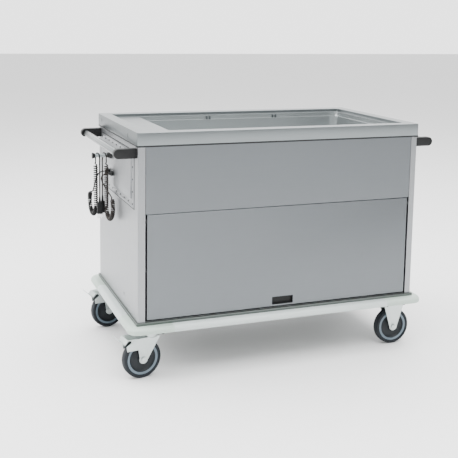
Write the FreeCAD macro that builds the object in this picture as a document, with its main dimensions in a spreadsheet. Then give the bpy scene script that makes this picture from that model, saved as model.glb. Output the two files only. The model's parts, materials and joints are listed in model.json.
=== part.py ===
import FreeCAD, Part
import math
import os
import re

import Sketcher
from FreeCAD import Placement, Rotation, Vector

# Hot food trolley: a stainless steel bain-marie top over an enclosed heated cupboard
# with an up-and-over door, on two braked swivel castors and two fixed ones.
# Frame: origin on the floor under the middle of the trolley, X along its length,
# -Y towards the door, +Z up. Millimetres.

SIZES = {
    # worktop and body
    "body_length": 1240, "body_depth": 700, "top_height": 985,
    "apron_height": 50, "rim_width": 50, "rim_recess": 14, "rim_radius": 2,
    "corner_radius": 9, "sheet_gauge": 1.5, "seam_gap": 0.3,
    "cabinet_inset": 4, "post_width": 29, "post_radius": 6,
    "base_top": 237, "base_thickness": 12, "base_lip": 6, "upper_height": 319,
    "fascia_gap": 1.6,
    # water well
    "well_left": 170, "well_right": 64, "well_margin": 64, "well_depth": 211,
    "well_corner": 40, "well_step_drop": 18, "well_step_in": 8, "flange_width": 10,
    "clip_width": 6, "clip_spacing": 16, "clip_drop": 1.5,
    # cupboard
    "cupboard_wall_inset": 14.5, "cupboard_back_inset": 14.5, "ceiling_rise": 24,
    "wall_front_inset": 6, "shelf_height": 440, "shelf_lip": 18, "shelf_front": 50,
    "bracket_width": 20,
    # door
    "door_side_gap": 8, "door_bottom_gap": 8, "door_top_gap": 2, "door_thickness": 18,
    "fascia_flange": 15, "pull_width": 94, "pull_height": 33, "pull_rise": 6,
    "pull_depth": 14, "pivot_drop": 30, "pivot_back": 26, "pivot_rod_radius": 4,
    "hinge_width": 22, "hinge_height": 20, "rail_depth": 17, "glide_half_height": 8.7,
    "glide_half_length": 10, "door_travel": 356, "rail_overrun": 30,
    # chassis and bumper
    "frame_inset": 8, "frame_tube": 40, "frame_bottom": 190, "frame_wall": 2,
    "gusset_length": 150, "gusset_width": 130, "gusset_thickness": 6,
    "bumper_width": 46, "bumper_height": 26, "bumper_top_radius": 16,
    "bumper_foot_radius": 6, "bumper_corner_leg": 134,
    # castors
    "castor_inset_x": 68, "castor_inset_y": 50, "wheel_diameter": 160,
    "tyre_width": 34, "tyre_depth": 15, "hub_width": 38.4, "running_gap": 0.3,
    "fork_gauge": 3, "axle_radius": 6, "bearing_gap": 0.05, "castor_trail": 40,
    "swivel_rest_angle": 10, "plate_length": 110, "plate_width": 90,
    "plate_thickness": 6, "race_radius": 33, "race_height": 10,
    "crown_drop": 10, "fork_ahead": 31, "fork_behind": 72, "wing_reach": 112,
    "wing_drop": 42, "king_pin_length": 17, "king_nut_height": 6, "pedal_pin_back": 84,
    "pedal_pin_drop": 6, "bolt_pitch_x": 84, "bolt_pitch_y": 64, "bolt_radius": 4,
    "pedal_reach": 150, "pedal_dip": 122, "pedal_dip_drop": 12, "pedal_tip_rise": 14,
    "pedal_width": 60, "pedal_gauge": 4,
    # push handles
    "handle_drop": 82, "handle_reach": 70, "handle_radius": 13,
    "handle_wall": 1.5, "handle_bracket_y": 315, "bracket_thickness": 26,
    "bracket_height": 38, "bracket_cap": 6,
    # service cover, cord hook and glands
    "cover_length": 576, "cover_drop": 80, "cover_height": 225, "cover_rise": 7,
    "cover_border": 34, "screw_columns": 9, "screw_rows": 5, "screw_pitch_y": 67.5,
    "screw_pitch_z": 49, "screw_radius": 2, "screw_head_radius": 4.2,
    "hook_y": 75, "hook_drop": 69, "hook_radius": 7.5, "hook_length": 82,
    "gland_radius": 11, "gland_length": 22, "gland_drop": 143,
    "front_gland_y": 41, "rear_gland_y": 106,
    # control panel on the back
    "panel_inset": 98, "panel_width": 124, "control_drop": 85,
    "panel_thickness": 2, "panel_border": 8, "knob_drop": 38, "knob_pitch": 56,
    "knob_radius": 21, "knob_length": 20,
    "spindle_radius": 3, "thermostat_size": 34, "thermostat_depth": 40,
    "switch_drop": 35, "panel_foot": 35, "switch_spacing": 46, "rocker_width": 13,
    "rocker_height": 22, "rocker_gap": 1.4, "rocker_tilt": 8, "lamp_drop": 46,
    "lamp_radius": 5,
    # drain
    "drain_inset": 140, "drain_y": 200, "drain_drop": 30, "drain_radius": 11,
    "valve_radius": 15, "valve_length": 22, "spigot_radius": 9, "spigot_length": 12,
    "lever_length": 48, "lever_width": 12,
    # heating
    "element_radius": 4.25, "element_spread": 90, "element_length": 800,
    # curly mains leads
    "lead_radius": 2.75, "curl_radius": 7.25, "curls": 46, "loop_radius": 48,
    "loop_sweep": 260, "coil_drop": 198, "coil_start_drop": 16, "coil_lead_in": 8,
    "curl_ease": 1.5, "curl_stretch": 10, "loop_shift": 8, "outer_lead_reach": 65,
    "inner_lead_reach": 24, "feed_bow": 33, "strand_shift": 12,
    "plug_width": 24, "plug_thickness": 16, "plug_length": 50, "plug_neck": 24,
    "plug_drop": 200, "pin_length": 19, "pin_radius": 2.4,
}

doc = FreeCAD.newDocument("hot_food_trolley")
sheet = doc.addObject("Spreadsheet::Sheet", "sizes")
for row, (alias, value) in enumerate(SIZES.items(), 1):
    sheet.set(f"A{row}", alias)
    sheet.set(f"B{row}", str(value))
    sheet.setAlias(f"B{row}", alias)
doc.recompute()

WORD = re.compile(r"[a-z]\w*")
TURN_TO = {
    "X": Rotation(Vector(0, 1, 0), 90),
    "Y": Rotation(Vector(1, 0, 0), -90),
    "Z": Rotation(),
}
FUNCTIONS = ("sin", "cos")
nodes = {}


# ---------------------------------------------------------------- small tools


def bound(formula):
    """Expression text of a formula, with each size read from the sheet."""
    prefix = lambda word: word[0] if word[0] in FUNCTIONS else "sizes." + word[0]
    return WORD.sub(prefix, str(formula))


def number(formula):
    """Value of a formula, with each size read from the sheet."""
    value = doc.sizes.evalExpression(WORD.sub(lambda word: word[0], str(formula)))
    return float(value)


def node(name, shape_object):
    """Register a finished piece under the name of its file."""
    shape_object.Label = name
    nodes[name] = shape_object
    return shape_object


def place(piece, x=None, y=None, z=None):
    """Bind the place of a piece to formulas."""
    for axis, formula in zip("xyz", (x, y, z)):
        if formula is not None:
            piece.setExpression(f"Placement.Base.{axis}", bound(formula))


def block(name, x, y, z):
    """Box between the low and the high formula of each axis."""
    box = doc.addObject("Part::Box", name)
    for side, axis, (low, high) in zip(("Length", "Width", "Height"), "xyz", (x, y, z)):
        box.setExpression(side, bound(f"({high}) - ({low})"))
        box.setExpression(f"Placement.Base.{axis}", bound(low))
    return box


def round_bar(name, axis, start, length, radius, across):
    """Cylinder along an axis from a start, at two formulas on the other axes."""
    bar = doc.addObject("Part::Cylinder", name)
    bar.Placement = Placement(Vector(), TURN_TO[axis])
    bar.setExpression("Radius", bound(radius))
    bar.setExpression("Height", bound(length))
    places = dict(zip([letter for letter in "XYZ" if letter != axis], across))
    places[axis] = start
    place(bar, places["X"], places["Y"], places["Z"])
    return bar


def taper(name, axis, start, length, first_radius, last_radius, across):
    """Cone along an axis from a start, at two formulas on the other axes."""
    cone = doc.addObject("Part::Cone", name)
    cone.Placement = Placement(Vector(), TURN_TO[axis])
    cone.setExpression("Radius1", bound(first_radius))
    cone.setExpression("Radius2", bound(last_radius))
    cone.setExpression("Height", bound(length))
    places = dict(zip([letter for letter in "XYZ" if letter != axis], across))
    places[axis] = start
    place(cone, places["X"], places["Y"], places["Z"])
    return cone


def join(name, *pieces):
    """One solid from touching or overlapping pieces."""
    fusion = doc.addObject("Part::MultiFuse", name)
    fusion.Shapes = list(pieces)
    fusion.Refine = True
    return fusion


def group(name, *pieces):
    """Separate solids that share one node."""
    compound = doc.addObject("Part::Compound", name)
    compound.Links = list(pieces)
    return compound


def cut(name, base, *tools):
    """Base less its tools, which may overlap one another."""
    result = doc.addObject("Part::Cut", name)
    result.Base = base
    result.Tool = tools[0] if len(tools) == 1 else join(name + "_tools", *tools)
    return result


def shared_part(name, base, tool):
    """What two pieces have in common."""
    result = doc.addObject("Part::Common", name)
    result.Base = base
    result.Tool = tool
    return result


def mirror(name, source, axis):
    """Copy of a piece on the other side of the plane square to an axis."""
    copy = doc.addObject("Part::Mirroring", name)
    copy.Source = source
    copy.Normal = {"X": Vector(1, 0, 0), "Y": Vector(0, 1, 0)}[axis]
    return copy


def four_corners(name, piece):
    """A piece and its copies at the other three corners of the trolley."""
    across = mirror(name + "_across", piece, "X")
    pair = group(name + "_pair", piece, across)
    return group(name, pair, mirror(name + "_behind", pair, "Y"))


def sketch_on(body, name, role, offset=None):
    """Sketch on one of a body's own origin planes, moved along its normal."""
    sketch = body.newObject("Sketcher::SketchObject", name)
    origin_plane = next(f for f in body.Origin.OriginFeatures if f.Role == role)
    sketch.AttachmentSupport = [(origin_plane, "")]
    sketch.MapMode = "FlatFace"
    if offset is not None:
        sketch.setExpression("AttachmentOffset.Base.z", bound(offset))
    return sketch


def pin_point(sketch, element, end, x, y):
    """Bind the two coordinates of a sketch point to formulas."""
    for kind, formula in (("DistanceX", x), ("DistanceY", y)):
        index = sketch.addConstraint(
            Sketcher.Constraint(kind, -1, 1, element, end, number(formula)))
        sketch.setExpression(f"Constraints[{index}]", bound(formula))


def outline(sketch, corners):
    """Closed outline of (x, y) or, at a square corner, (x, y, radius) formulas."""
    spots = [(number(corner[0]), number(corner[1])) for corner in corners]
    ends = []
    for index, corner in enumerate(corners):
        x, y, radius = (corner + (None,))[:3]
        trimmed = []
        for other in (spots[index - 1], spots[(index + 1) % len(corners)]):
            if radius is None:
                trimmed.append((x, y))
            elif abs(other[0] - spots[index][0]) > abs(other[1] - spots[index][1]):
                sign = "+" if other[0] > spots[index][0] else "-"
                trimmed.append((f"({x}) {sign} ({radius})", y))
            else:
                sign = "+" if other[1] > spots[index][1] else "-"
                trimmed.append((x, f"({y}) {sign} ({radius})"))
        ends.append(trimmed)
    at = lambda point: Vector(number(point[0]), number(point[1]), 0)
    lines = []
    for index in range(len(corners)):
        start, stop = ends[index][1], ends[(index + 1) % len(corners)][0]
        line = sketch.addGeometry(Part.LineSegment(at(start), at(stop)))
        pin_point(sketch, line, 1, *start)
        lines.append((line, stop))
    for index, (line, stop) in enumerate(lines):
        after = (index + 1) % len(corners)
        corner = corners[after]
        if len(corner) == 2:
            sketch.addConstraint(Sketcher.Constraint("Coincident", line, 2, lines[after][0], 1))
            continue
        pin_point(sketch, line, 2, *stop)
        before, beyond = at(ends[after][0]), at(ends[after][1])
        spot = Vector(*spots[after], 0)
        centre = before + beyond - spot
        middle = centre + (spot - centre).normalize() * (before - centre).Length
        arc = sketch.addGeometry(Part.Arc(before, middle, beyond))
        begin, end = (1, 2) if sketch.getPoint(arc, 1).isEqual(before, 1e-6) else (2, 1)
        sketch.addConstraint(Sketcher.Constraint("Coincident", line, 2, arc, begin))
        sketch.addConstraint(Sketcher.Constraint("Coincident", arc, end, lines[after][0], 1))
        index = sketch.addConstraint(Sketcher.Constraint("Radius", arc, number(corner[2])))
        sketch.setExpression(f"Constraints[{index}]", bound(corner[2]))


def rectangle(x, y, radius=None):
    """Corners of a rectangle between low and high formulas, for an outline."""
    tail = () if radius is None else (radius,)
    return [(x[0], y[0]) + tail, (x[1], y[0]) + tail, (x[1], y[1]) + tail, (x[0], y[1]) + tail]


def pad(body, name, sketch, length):
    """Pad of a sketch along its normal."""
    feature = body.newObject("PartDesign::Pad", name)
    feature.Profile = sketch
    feature.setExpression("Length", bound(length))
    return feature


def pocket(body, name, sketch, length, upwards=False):
    """Pocket of a sketch against its normal, or along it."""
    feature = body.newObject("PartDesign::Pocket", name)
    feature.Profile = sketch
    feature.Reversed = upwards
    feature.setExpression("Length", bound(length))
    return feature


def round_edges(body, name, feature, radius, wanted):
    """Fillet on the edges of a feature that a test picks."""
    doc.recompute()
    edges = [f"Edge{i}" for i, edge in enumerate(feature.Shape.Edges, 1) if wanted(edge)]
    fillet = body.newObject("PartDesign::Fillet", name)
    fillet.Base = (feature, edges)
    fillet.setExpression("Radius", bound(radius))
    return fillet


def turned(name, corners, axis="H_Axis", role="YZ_Plane"):
    """Body turned from an outline about an axis of its sketch."""
    body = doc.addObject("PartDesign::Body", name)
    sketch = sketch_on(body, name + "_profile", role)
    outline(sketch, corners)
    turn = body.newObject("PartDesign::Revolution", name + "_turn")
    turn.Profile = sketch
    turn.ReferenceAxis = (sketch, [axis])
    return body


def prism(name, corners, role, start, length):
    """Body with one padded outline, from a start along the plane's normal."""
    body = doc.addObject("PartDesign::Body", name)
    sketch = sketch_on(body, name + "_outline", role, start)
    outline(sketch, corners)
    pad(body, name + "_pad", sketch, length)
    return body


# ------------------------------------------------- places that pieces share

END = "(body_length / 2)"
SIDE = "(body_depth / 2)"
CAB_END = "(body_length / 2 - cabinet_inset)"
CAB_SIDE = "(body_depth / 2 - cabinet_inset)"
POST_INNER = f"({CAB_END} - post_width)"
LEDGE = "(top_height - rim_recess)"
PANEL_TOP = "(top_height - sheet_gauge)"
WELL_X0 = "(well_left - body_length / 2)"
WELL_X1 = "(body_length / 2 - well_right)"
WELL_Y = "(body_depth / 2 - well_margin)"
WELL_TOP = "(top_height - rim_recess - sheet_gauge)"
WELL_SEAT = f"({WELL_TOP} - well_step_drop)"
WELL_FLOOR = f"({LEDGE} - well_depth)"
WALL_X = f"({CAB_END} - sheet_gauge - cupboard_wall_inset)"
WALL_FRONT = f"({CAB_SIDE} - wall_front_inset)"
BACK_Y = f"({CAB_SIDE} - sheet_gauge - cupboard_back_inset)"
FLOOR_TOP = "(base_top + sheet_gauge)"
PIVOT_Y = f"(pivot_back - {CAB_SIDE})"
SPLIT = "(top_height - upper_height)"
CEILING = f"({SPLIT} + ceiling_rise)"
PIVOT_Z = f"({SPLIT} - pivot_drop)"
FRAME_X = f"({CAB_END} + base_lip - frame_inset - 2)"
FRAME_Y = f"({CAB_SIDE} + base_lip - frame_inset - 2)"
FRAME_TOP = "(base_top - base_thickness)"
CASTOR_X = "(body_length / 2 - castor_inset_x)"
CASTOR_Y = "(body_depth / 2 - castor_inset_y)"
PLATE_Z = "(frame_bottom - plate_thickness)"
RACE_Z = f"({PLATE_Z} - race_height)"
COVER_FACE = f"({CAB_END} + cover_rise)"
COVER_TOP = "(top_height - cover_drop)"
COVER_LOW = f"({COVER_TOP} - cover_height)"
HOOK_Z = f"({COVER_TOP} - hook_drop)"
GLAND_Z = f"({COVER_TOP} - gland_drop)"
HANDLE_Z = "(top_height - handle_drop)"
PANEL_X = "(panel_inset - body_length / 2)"
DRAIN_X = "(body_length / 2 - drain_inset)"
CONTROL_TOP = "(top_height - control_drop)"
KNOB_Z = {"well": f"({CONTROL_TOP} - knob_drop)",
          "cupboard": f"({CONTROL_TOP} - knob_drop - knob_pitch)"}
LAMP_Z = f"({KNOB_Z['cupboard']} - lamp_drop)"
SWITCH_Z = f"({LAMP_Z} - switch_drop)"
CONTROL_LOW = f"({SWITCH_Z} - panel_foot)"
CROWN = f"({RACE_Z} - crown_drop)"
PEDAL_PIN = ("castor_trail - pedal_pin_back", f"{CROWN} - pedal_pin_drop")


# ------------------------------------------------------------------- top unit


def make_worktop():
    """Pressed top with a raised rim, a sunk deck, the well cut-out and an apron."""
    body = doc.addObject("PartDesign::Body", "worktop")
    slab = sketch_on(body, "top_outline", "XY_Plane", "top_height - apron_height")
    outline(slab, rectangle((f"-{END}", END), (f"-{SIDE}", SIDE), "corner_radius"))
    pad(body, "top_slab", slab, "apron_height")
    deck = sketch_on(body, "deck_outline", "XY_Plane", "top_height")
    inner_x = f"({END} - rim_width)"
    inner_y = f"({SIDE} - rim_width)"
    outline(deck, rectangle((f"-{inner_x}", inner_x), (f"-{inner_y}", inner_y), "corner_radius"))
    recess = pocket(body, "deck_recess", deck, "rim_recess")
    top = number("top_height")
    on_rim = lambda edge: all(abs(vertex.Z - top) < 0.01 for vertex in edge.Vertexes)
    round_edges(body, "rim_rounding", recess, "rim_radius", on_rim)
    hole = sketch_on(body, "well_opening", "XY_Plane", LEDGE)
    outline(hole, rectangle((WELL_X0, WELL_X1), (f"-{WELL_Y}", WELL_Y), "well_corner"))
    pocket(body, "well_cutout", hole, "apron_height")
    inside_x = f"({END} - sheet_gauge)"
    inside_y = f"({SIDE} - sheet_gauge)"
    under = sketch_on(body, "underside", "XY_Plane", "top_height - apron_height")
    outline(under, rectangle((f"-{inside_x}", inside_x), (f"-{inside_y}", inside_y),
                             "corner_radius - sheet_gauge"))
    pocket(body, "deck_hollow", under, "apron_height - rim_recess - sheet_gauge", True)
    ring = sketch_on(body, "rim_underside", "XY_Plane", "top_height - apron_height")
    ring_x = f"({inner_x} + sheet_gauge)"
    ring_y = f"({inner_y} + sheet_gauge)"
    outline(ring, rectangle((f"-{inside_x}", inside_x), (f"-{inside_y}", inside_y),
                            "corner_radius - sheet_gauge"))
    outline(ring, rectangle((f"-{ring_x}", ring_x), (f"-{ring_y}", ring_y), "corner_radius"))
    pocket(body, "rim_hollow", ring, "apron_height - sheet_gauge", True)
    node("worktop", body)


def make_well():
    """Deep tank with a flange, a seat for the pans and a drain hole.

    Its walls and floor are one folded sheet; the four rounded corners are pressed
    pieces welded in between the walls.
    """
    body = doc.addObject("PartDesign::Body", "bain_marie_well")

    def ring(name, z, grow, radius):
        sketch = sketch_on(body, name, "XY_Plane", z)
        outline(sketch, rectangle((f"{WELL_X0} - ({grow})", f"{WELL_X1} + ({grow})"),
                                  (f"-{WELL_Y} - ({grow})", f"{WELL_Y} + ({grow})"), radius))
        return sketch

    pad(body, "well_flange", ring("flange_edge", f"{WELL_TOP} - sheet_gauge",
                                  "sheet_gauge + flange_width", "well_corner"), "sheet_gauge")
    pad(body, "well_collar", ring("collar_edge", f"{WELL_SEAT} - sheet_gauge", "sheet_gauge",
                                  "well_corner + sheet_gauge"), "well_step_drop")
    pad(body, "well_tank", ring("tank_edge", f"{WELL_FLOOR} - sheet_gauge",
                                "sheet_gauge - well_step_in", "well_corner"),
        f"{WELL_SEAT} - {WELL_FLOOR} + sheet_gauge")
    pocket(body, "collar_inside", ring("collar_mouth", WELL_TOP, "0", "well_corner"),
           "well_step_drop")
    inside = pocket(body, "tank_inside", ring("tank_mouth", WELL_TOP, "-well_step_in",
                                              "well_corner - sheet_gauge"),
                    f"{WELL_TOP} - {WELL_FLOOR}")
    floor = number(WELL_FLOOR)
    at_floor = lambda edge: all(abs(vertex.Z - floor) < 0.01 for vertex in edge.Vertexes)
    round_edges(body, "tank_floor_rounding", inside, "sheet_gauge * 6", at_floor)
    drain = round_bar("well_drain_hole", "Z", f"{WELL_FLOOR} - 2 * sheet_gauge",
                      "sheet_gauge * 4", "drain_radius", (DRAIN_X, "drain_y"))
    drilled = cut("well_drilled", body, drain)
    reach = "(well_corner + well_step_in)"
    blocks = []
    for end, near, far in (("left", f"{WELL_X0} - 20", f"{WELL_X0} + {reach}"),
                           ("right", f"{WELL_X1} - {reach}", f"{WELL_X1} + 20")):
        back = block(f"corner_{end}_back", (near, far), (f"{WELL_Y} - {reach}", f"{WELL_Y} + 20"),
                     (f"{WELL_FLOOR} - 5", f"{WELL_TOP} + 5"))
        blocks += [back, mirror(f"corner_{end}_front", back, "Y")]
    corners = [shared_part(f"pressed_{piece.Name}", drilled, piece) for piece in blocks]
    node("bain_marie_well", group("well_welded", cut("well_folded", drilled, *blocks), *corners))


def make_divider_clips():
    """Pairs of small clips at the thirds of the well, which hold the pan dividers."""
    clips = []
    for third in (1, 2):
        middle = f"({WELL_X0} + ({WELL_X1} - {WELL_X0}) * {third} / 3)"
        for side in (-1, 1):
            centre = f"({middle} + {side} * clip_spacing / 2)"
            clip = block(f"clip_{third}_{side + 2}",
                         (f"{centre} - clip_width / 2", f"{centre} + clip_width / 2"),
                         (f"{WELL_Y} - well_step_in", WELL_Y),
                         (WELL_SEAT, f"{WELL_TOP} - clip_drop"))
            clips += [clip, mirror(clip.Name + "_front", clip, "Y")]
    node("divider_clips", group("divider_clip_set", *clips))


# -------------------------------------------------------------------- cabinet


def screw_places():
    """Place formulas along Y and Z of every screw round the service cover."""
    places = []
    columns = int(number("screw_columns"))
    rows = int(number("screw_rows"))
    for column in range(columns):
        for row in range(rows):
            if column in (0, columns - 1) or row in (0, rows - 1):
                y = f"({column} - (screw_columns - 1) / 2) * screw_pitch_y"
                z = (f"{COVER_LOW} + cover_height / 2"
                     f" + ({row} - (screw_rows - 1) / 2) * screw_pitch_z")
                places.append((y, z))
    return places


def screw_holes(name):
    """Clearance holes for the screws of the service cover."""
    holes = [round_bar(f"{name}_{index}", "X", f"-{CAB_END} - 2 * sheet_gauge",
                       "4 * sheet_gauge", "screw_radius + bearing_gap", spot)
             for index, spot in enumerate(screw_places())]
    return group(name, *holes)


def side_wrap(name):
    """Side panel whose edges wrap round the corners as posts."""
    body = doc.addObject("PartDesign::Body", name)
    sketch = sketch_on(body, name + "_plan", "XY_Plane", "base_top")
    inner_x = f"-({CAB_END} - sheet_gauge)"
    inner_y = f"({CAB_SIDE} - sheet_gauge)"
    outer = ("post_radius",)
    inner = ("post_radius - sheet_gauge",)
    outline(sketch, [
        (f"-{CAB_END}", f"-{CAB_SIDE}") + outer, (f"-{POST_INNER}", f"-{CAB_SIDE}"),
        (f"-{POST_INNER}", f"-{inner_y}"), (inner_x, f"-{inner_y}") + inner,
        (inner_x, inner_y) + inner, (f"-{POST_INNER}", inner_y),
        (f"-{POST_INNER}", CAB_SIDE), (f"-{CAB_END}", CAB_SIDE) + outer,
    ])
    pad(body, name + "_height", sketch, f"{PANEL_TOP} - base_top")
    return body


def make_cabinet_panels():
    """Side panels, fixed front fascia and back panel."""
    border = "cover_border"
    opening = block("service_opening",
                    (f"-{CAB_END} - sheet_gauge", f"-{CAB_END} + 2 * sheet_gauge"),
                    (f"{border} - cover_length / 2", f"cover_length / 2 - {border}"),
                    (f"{COVER_LOW} + {border}", f"{COVER_TOP} - {border}"))
    left = cut("side_left_cut", side_wrap("side_left"), opening, screw_holes("side_holes"))
    node("side_panel_left", left)
    node("side_panel_right", mirror("side_right", side_wrap("side_right_plain"), "X"))
    fascia = prism("fascia", [
        (f"-{CAB_SIDE}", SPLIT), (f"fascia_flange - {CAB_SIDE}", SPLIT),
        (f"fascia_flange - {CAB_SIDE}", f"{SPLIT} + sheet_gauge"),
        (f"sheet_gauge - {CAB_SIDE}", f"{SPLIT} + sheet_gauge"),
        (f"sheet_gauge - {CAB_SIDE}", PANEL_TOP), (f"-{CAB_SIDE}", PANEL_TOP),
    ], "YZ_Plane", f"fascia_gap - {POST_INNER}", f"2 * ({POST_INNER} - fascia_gap)")
    node("front_fascia", fascia)
    edge = f"({POST_INNER} - seam_gap)"
    sheet_back = block("back_sheet", (f"-{edge}", edge), (f"{CAB_SIDE} - sheet_gauge", CAB_SIDE),
                       ("base_top", PANEL_TOP))
    window = block("control_window",
                   (f"{PANEL_X} - panel_width / 2 + panel_border",
                    f"{PANEL_X} + panel_width / 2 - panel_border"),
                   (f"{CAB_SIDE} - 2 * sheet_gauge", f"{CAB_SIDE} + sheet_gauge"),
                   (f"{CONTROL_LOW} + panel_border", f"{CONTROL_TOP} - panel_border"))
    pipe_hole = round_bar("drain_pipe_hole", "Y", f"{CAB_SIDE} - 2 * sheet_gauge",
                          "4 * sheet_gauge", "drain_radius + seam_gap", DRAIN_LINE)
    node("back_panel", cut("back_cut", sheet_back, window, pipe_hole))


DRAIN_LINE = (DRAIN_X, f"{WELL_FLOOR} - drain_drop")


def make_cupboard():
    """Inner walls, floor, ceiling, shelf and the rails that the door runs in."""
    wall = block("wall_left", (f"-{WALL_X} - sheet_gauge", f"-{WALL_X}"),
                 (f"-{WALL_FRONT}", BACK_Y), (FLOOR_TOP, CEILING))
    back = block("wall_back", (f"-{WALL_X}", WALL_X), (f"{BACK_Y} - sheet_gauge", BACK_Y),
                 (FLOOR_TOP, CEILING))
    node("cupboard_walls", group("wall_set", wall, mirror("wall_right", wall, "X"), back))
    reach = f"({CAB_END} - sheet_gauge - seam_gap)"
    depth = f"({CAB_SIDE} - sheet_gauge - seam_gap)"
    node("cupboard_ceiling", block("ceiling", (f"-{reach}", reach),
                                   (f"-{WALL_FRONT}", depth),
                                   (CEILING, f"{CEILING} + sheet_gauge")))
    node("cupboard_floor", block("floor", (f"-{reach}", reach), (f"-{WALL_FRONT}", depth),
                                 ("base_top", FLOOR_TOP)))
    shelf_front = f"shelf_front - {CAB_SIDE}"
    shelf_back = f"({BACK_Y} - sheet_gauge - seam_gap)"
    shelf = prism("shelf", [
        (shelf_front, "shelf_height - shelf_lip"),
        (f"{shelf_front} + sheet_gauge", "shelf_height - shelf_lip"),
        (f"{shelf_front} + sheet_gauge", "shelf_height"),
        (f"{shelf_back} - sheet_gauge", "shelf_height"),
        (f"{shelf_back} - sheet_gauge", "shelf_height - shelf_lip"),
        (shelf_back, "shelf_height - shelf_lip"),
        (shelf_back, "shelf_height + sheet_gauge"), (shelf_front, "shelf_height + sheet_gauge"),
    ], "YZ_Plane", f"seam_gap - {WALL_X}", f"2 * ({WALL_X} - seam_gap)")
    node("cupboard_shelf", shelf)
    bracket = prism("shelf_bracket", [
        (f"-{WALL_X}", "shelf_height - bracket_width"),
        (f"sheet_gauge - {WALL_X}", "shelf_height - bracket_width"),
        (f"sheet_gauge - {WALL_X}", "shelf_height - sheet_gauge"),
        (f"bracket_width - {WALL_X}", "shelf_height - sheet_gauge"),
        (f"bracket_width - {WALL_X}", "shelf_height"), (f"-{WALL_X}", "shelf_height"),
    ], "XZ_Plane", f"-({shelf_back} - 2 * sheet_gauge)",
        f"{shelf_back} - ({shelf_front}) - 4 * sheet_gauge")
    node("shelf_brackets", group("bracket_pair", bracket, mirror("bracket_right", bracket, "X")))
    half = "(glide_half_height + seam_gap)"
    lip = f"rail_depth - {WALL_X}"
    rail = prism("door_rail", [
        (f"-{WALL_X}", f"{PIVOT_Z} - {half} - sheet_gauge"),
        (lip, f"{PIVOT_Z} - {half} - sheet_gauge"), (lip, f"{PIVOT_Z} - {half}"),
        (f"sheet_gauge - {WALL_X}", f"{PIVOT_Z} - {half}"),
        (f"sheet_gauge - {WALL_X}", f"{PIVOT_Z} + {half}"), (lip, f"{PIVOT_Z} + {half}"),
        (lip, f"{PIVOT_Z} + {half} + sheet_gauge"),
        (f"-{WALL_X}", f"{PIVOT_Z} + {half} + sheet_gauge"),
    ], "XZ_Plane", f"-({PIVOT_Y} + door_travel + rail_overrun)",
        f"{PIVOT_Y} + door_travel + rail_overrun + {WALL_FRONT}")
    node("door_rails", group("rail_pair", rail, mirror("rail_right", rail, "X")))


# ----------------------------------------------------------------------- door


def make_door():
    """Double skin up-and-over door with a sunk pull, hung on a sliding rod."""
    half = f"({POST_INNER} - door_side_gap)"
    low = "(base_top + door_bottom_gap)"
    high = f"({SPLIT} - door_top_gap)"
    front = f"(-{CAB_SIDE})"
    inner = f"({front} + door_thickness)"
    skin = block("door_skin", (f"-{half}", half), (front, inner), (low, high))
    hollow = block("door_hollow", (f"sheet_gauge - {half}", f"{half} - sheet_gauge"),
                   (f"{front} + sheet_gauge", f"{inner} + sheet_gauge"),
                   (f"{low} + sheet_gauge", f"{high} - sheet_gauge"))
    pull_low = f"({low} + pull_rise)"
    window = block("pull_window", ("-pull_width / 2", "pull_width / 2"),
                   (f"{front} - sheet_gauge", f"{front} + 2 * sheet_gauge"),
                   (pull_low, f"{pull_low} + pull_height"))
    node("door_panel", cut("door_pan", skin, hollow, window))
    node("door_liner", block("door_back", (f"-{half}", half), (inner, f"{inner} + sheet_gauge"),
                             (low, high)))
    tub = block("pull_tub", ("seam_gap - pull_width / 2", "pull_width / 2 - seam_gap"),
                (front, f"{front} + pull_depth"),
                (f"{pull_low} + seam_gap", f"{pull_low} + pull_height - seam_gap"))
    bowl = block("pull_bowl", ("3 - pull_width / 2", "pull_width / 2 - 3"),
                 (f"{front} - sheet_gauge", f"{front} + pull_depth - sheet_gauge"),
                 (f"{pull_low} + 3", f"{pull_low} + pull_height - 3"))
    node("door_pull", cut("pull_cup", tub, bowl))
    hinge = block("hinge_block", (f"seam_gap - {half}", f"hinge_width - {half}"),
                  (f"{inner} + sheet_gauge", f"{PIVOT_Y} + hinge_height / 2"),
                  (f"{PIVOT_Z} - hinge_height / 2", f"{PIVOT_Z} + hinge_height / 2"))
    bore = round_bar("hinge_bore", "X", f"-{half}", "hinge_width * 2",
                     "pivot_rod_radius + bearing_gap", (PIVOT_Y, PIVOT_Z))
    bored = cut("hinge_bored", hinge, bore)
    node("door_hinges", group("hinge_pair", bored, mirror("hinge_right", bored, "X")))
    rod_end = f"({WALL_X} - sheet_gauge - 2 * seam_gap)"
    rod = round_bar("door_rod", "X", f"-{rod_end}", f"2 * {rod_end}", "pivot_rod_radius",
                    (PIVOT_Y, PIVOT_Z))
    glide = block("glide_block", (f"-{rod_end}", f"rail_depth - {WALL_X} - seam_gap"),
                  (f"{PIVOT_Y} - glide_half_length", f"{PIVOT_Y} + glide_half_length"),
                  (f"{PIVOT_Z} - glide_half_height", f"{PIVOT_Z} + glide_half_height"))
    glide_bore = round_bar("glide_bore", "X", f"-{WALL_X}", "rail_depth * 2",
                           "pivot_rod_radius + bearing_gap", (PIVOT_Y, PIVOT_Z))
    left = cut("glide_left", glide, glide_bore)
    node("door_carriage", group("rod_and_glides", rod, left, mirror("glide_right", left, "X")))


# --------------------------------------------------------- chassis and bumper


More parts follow.
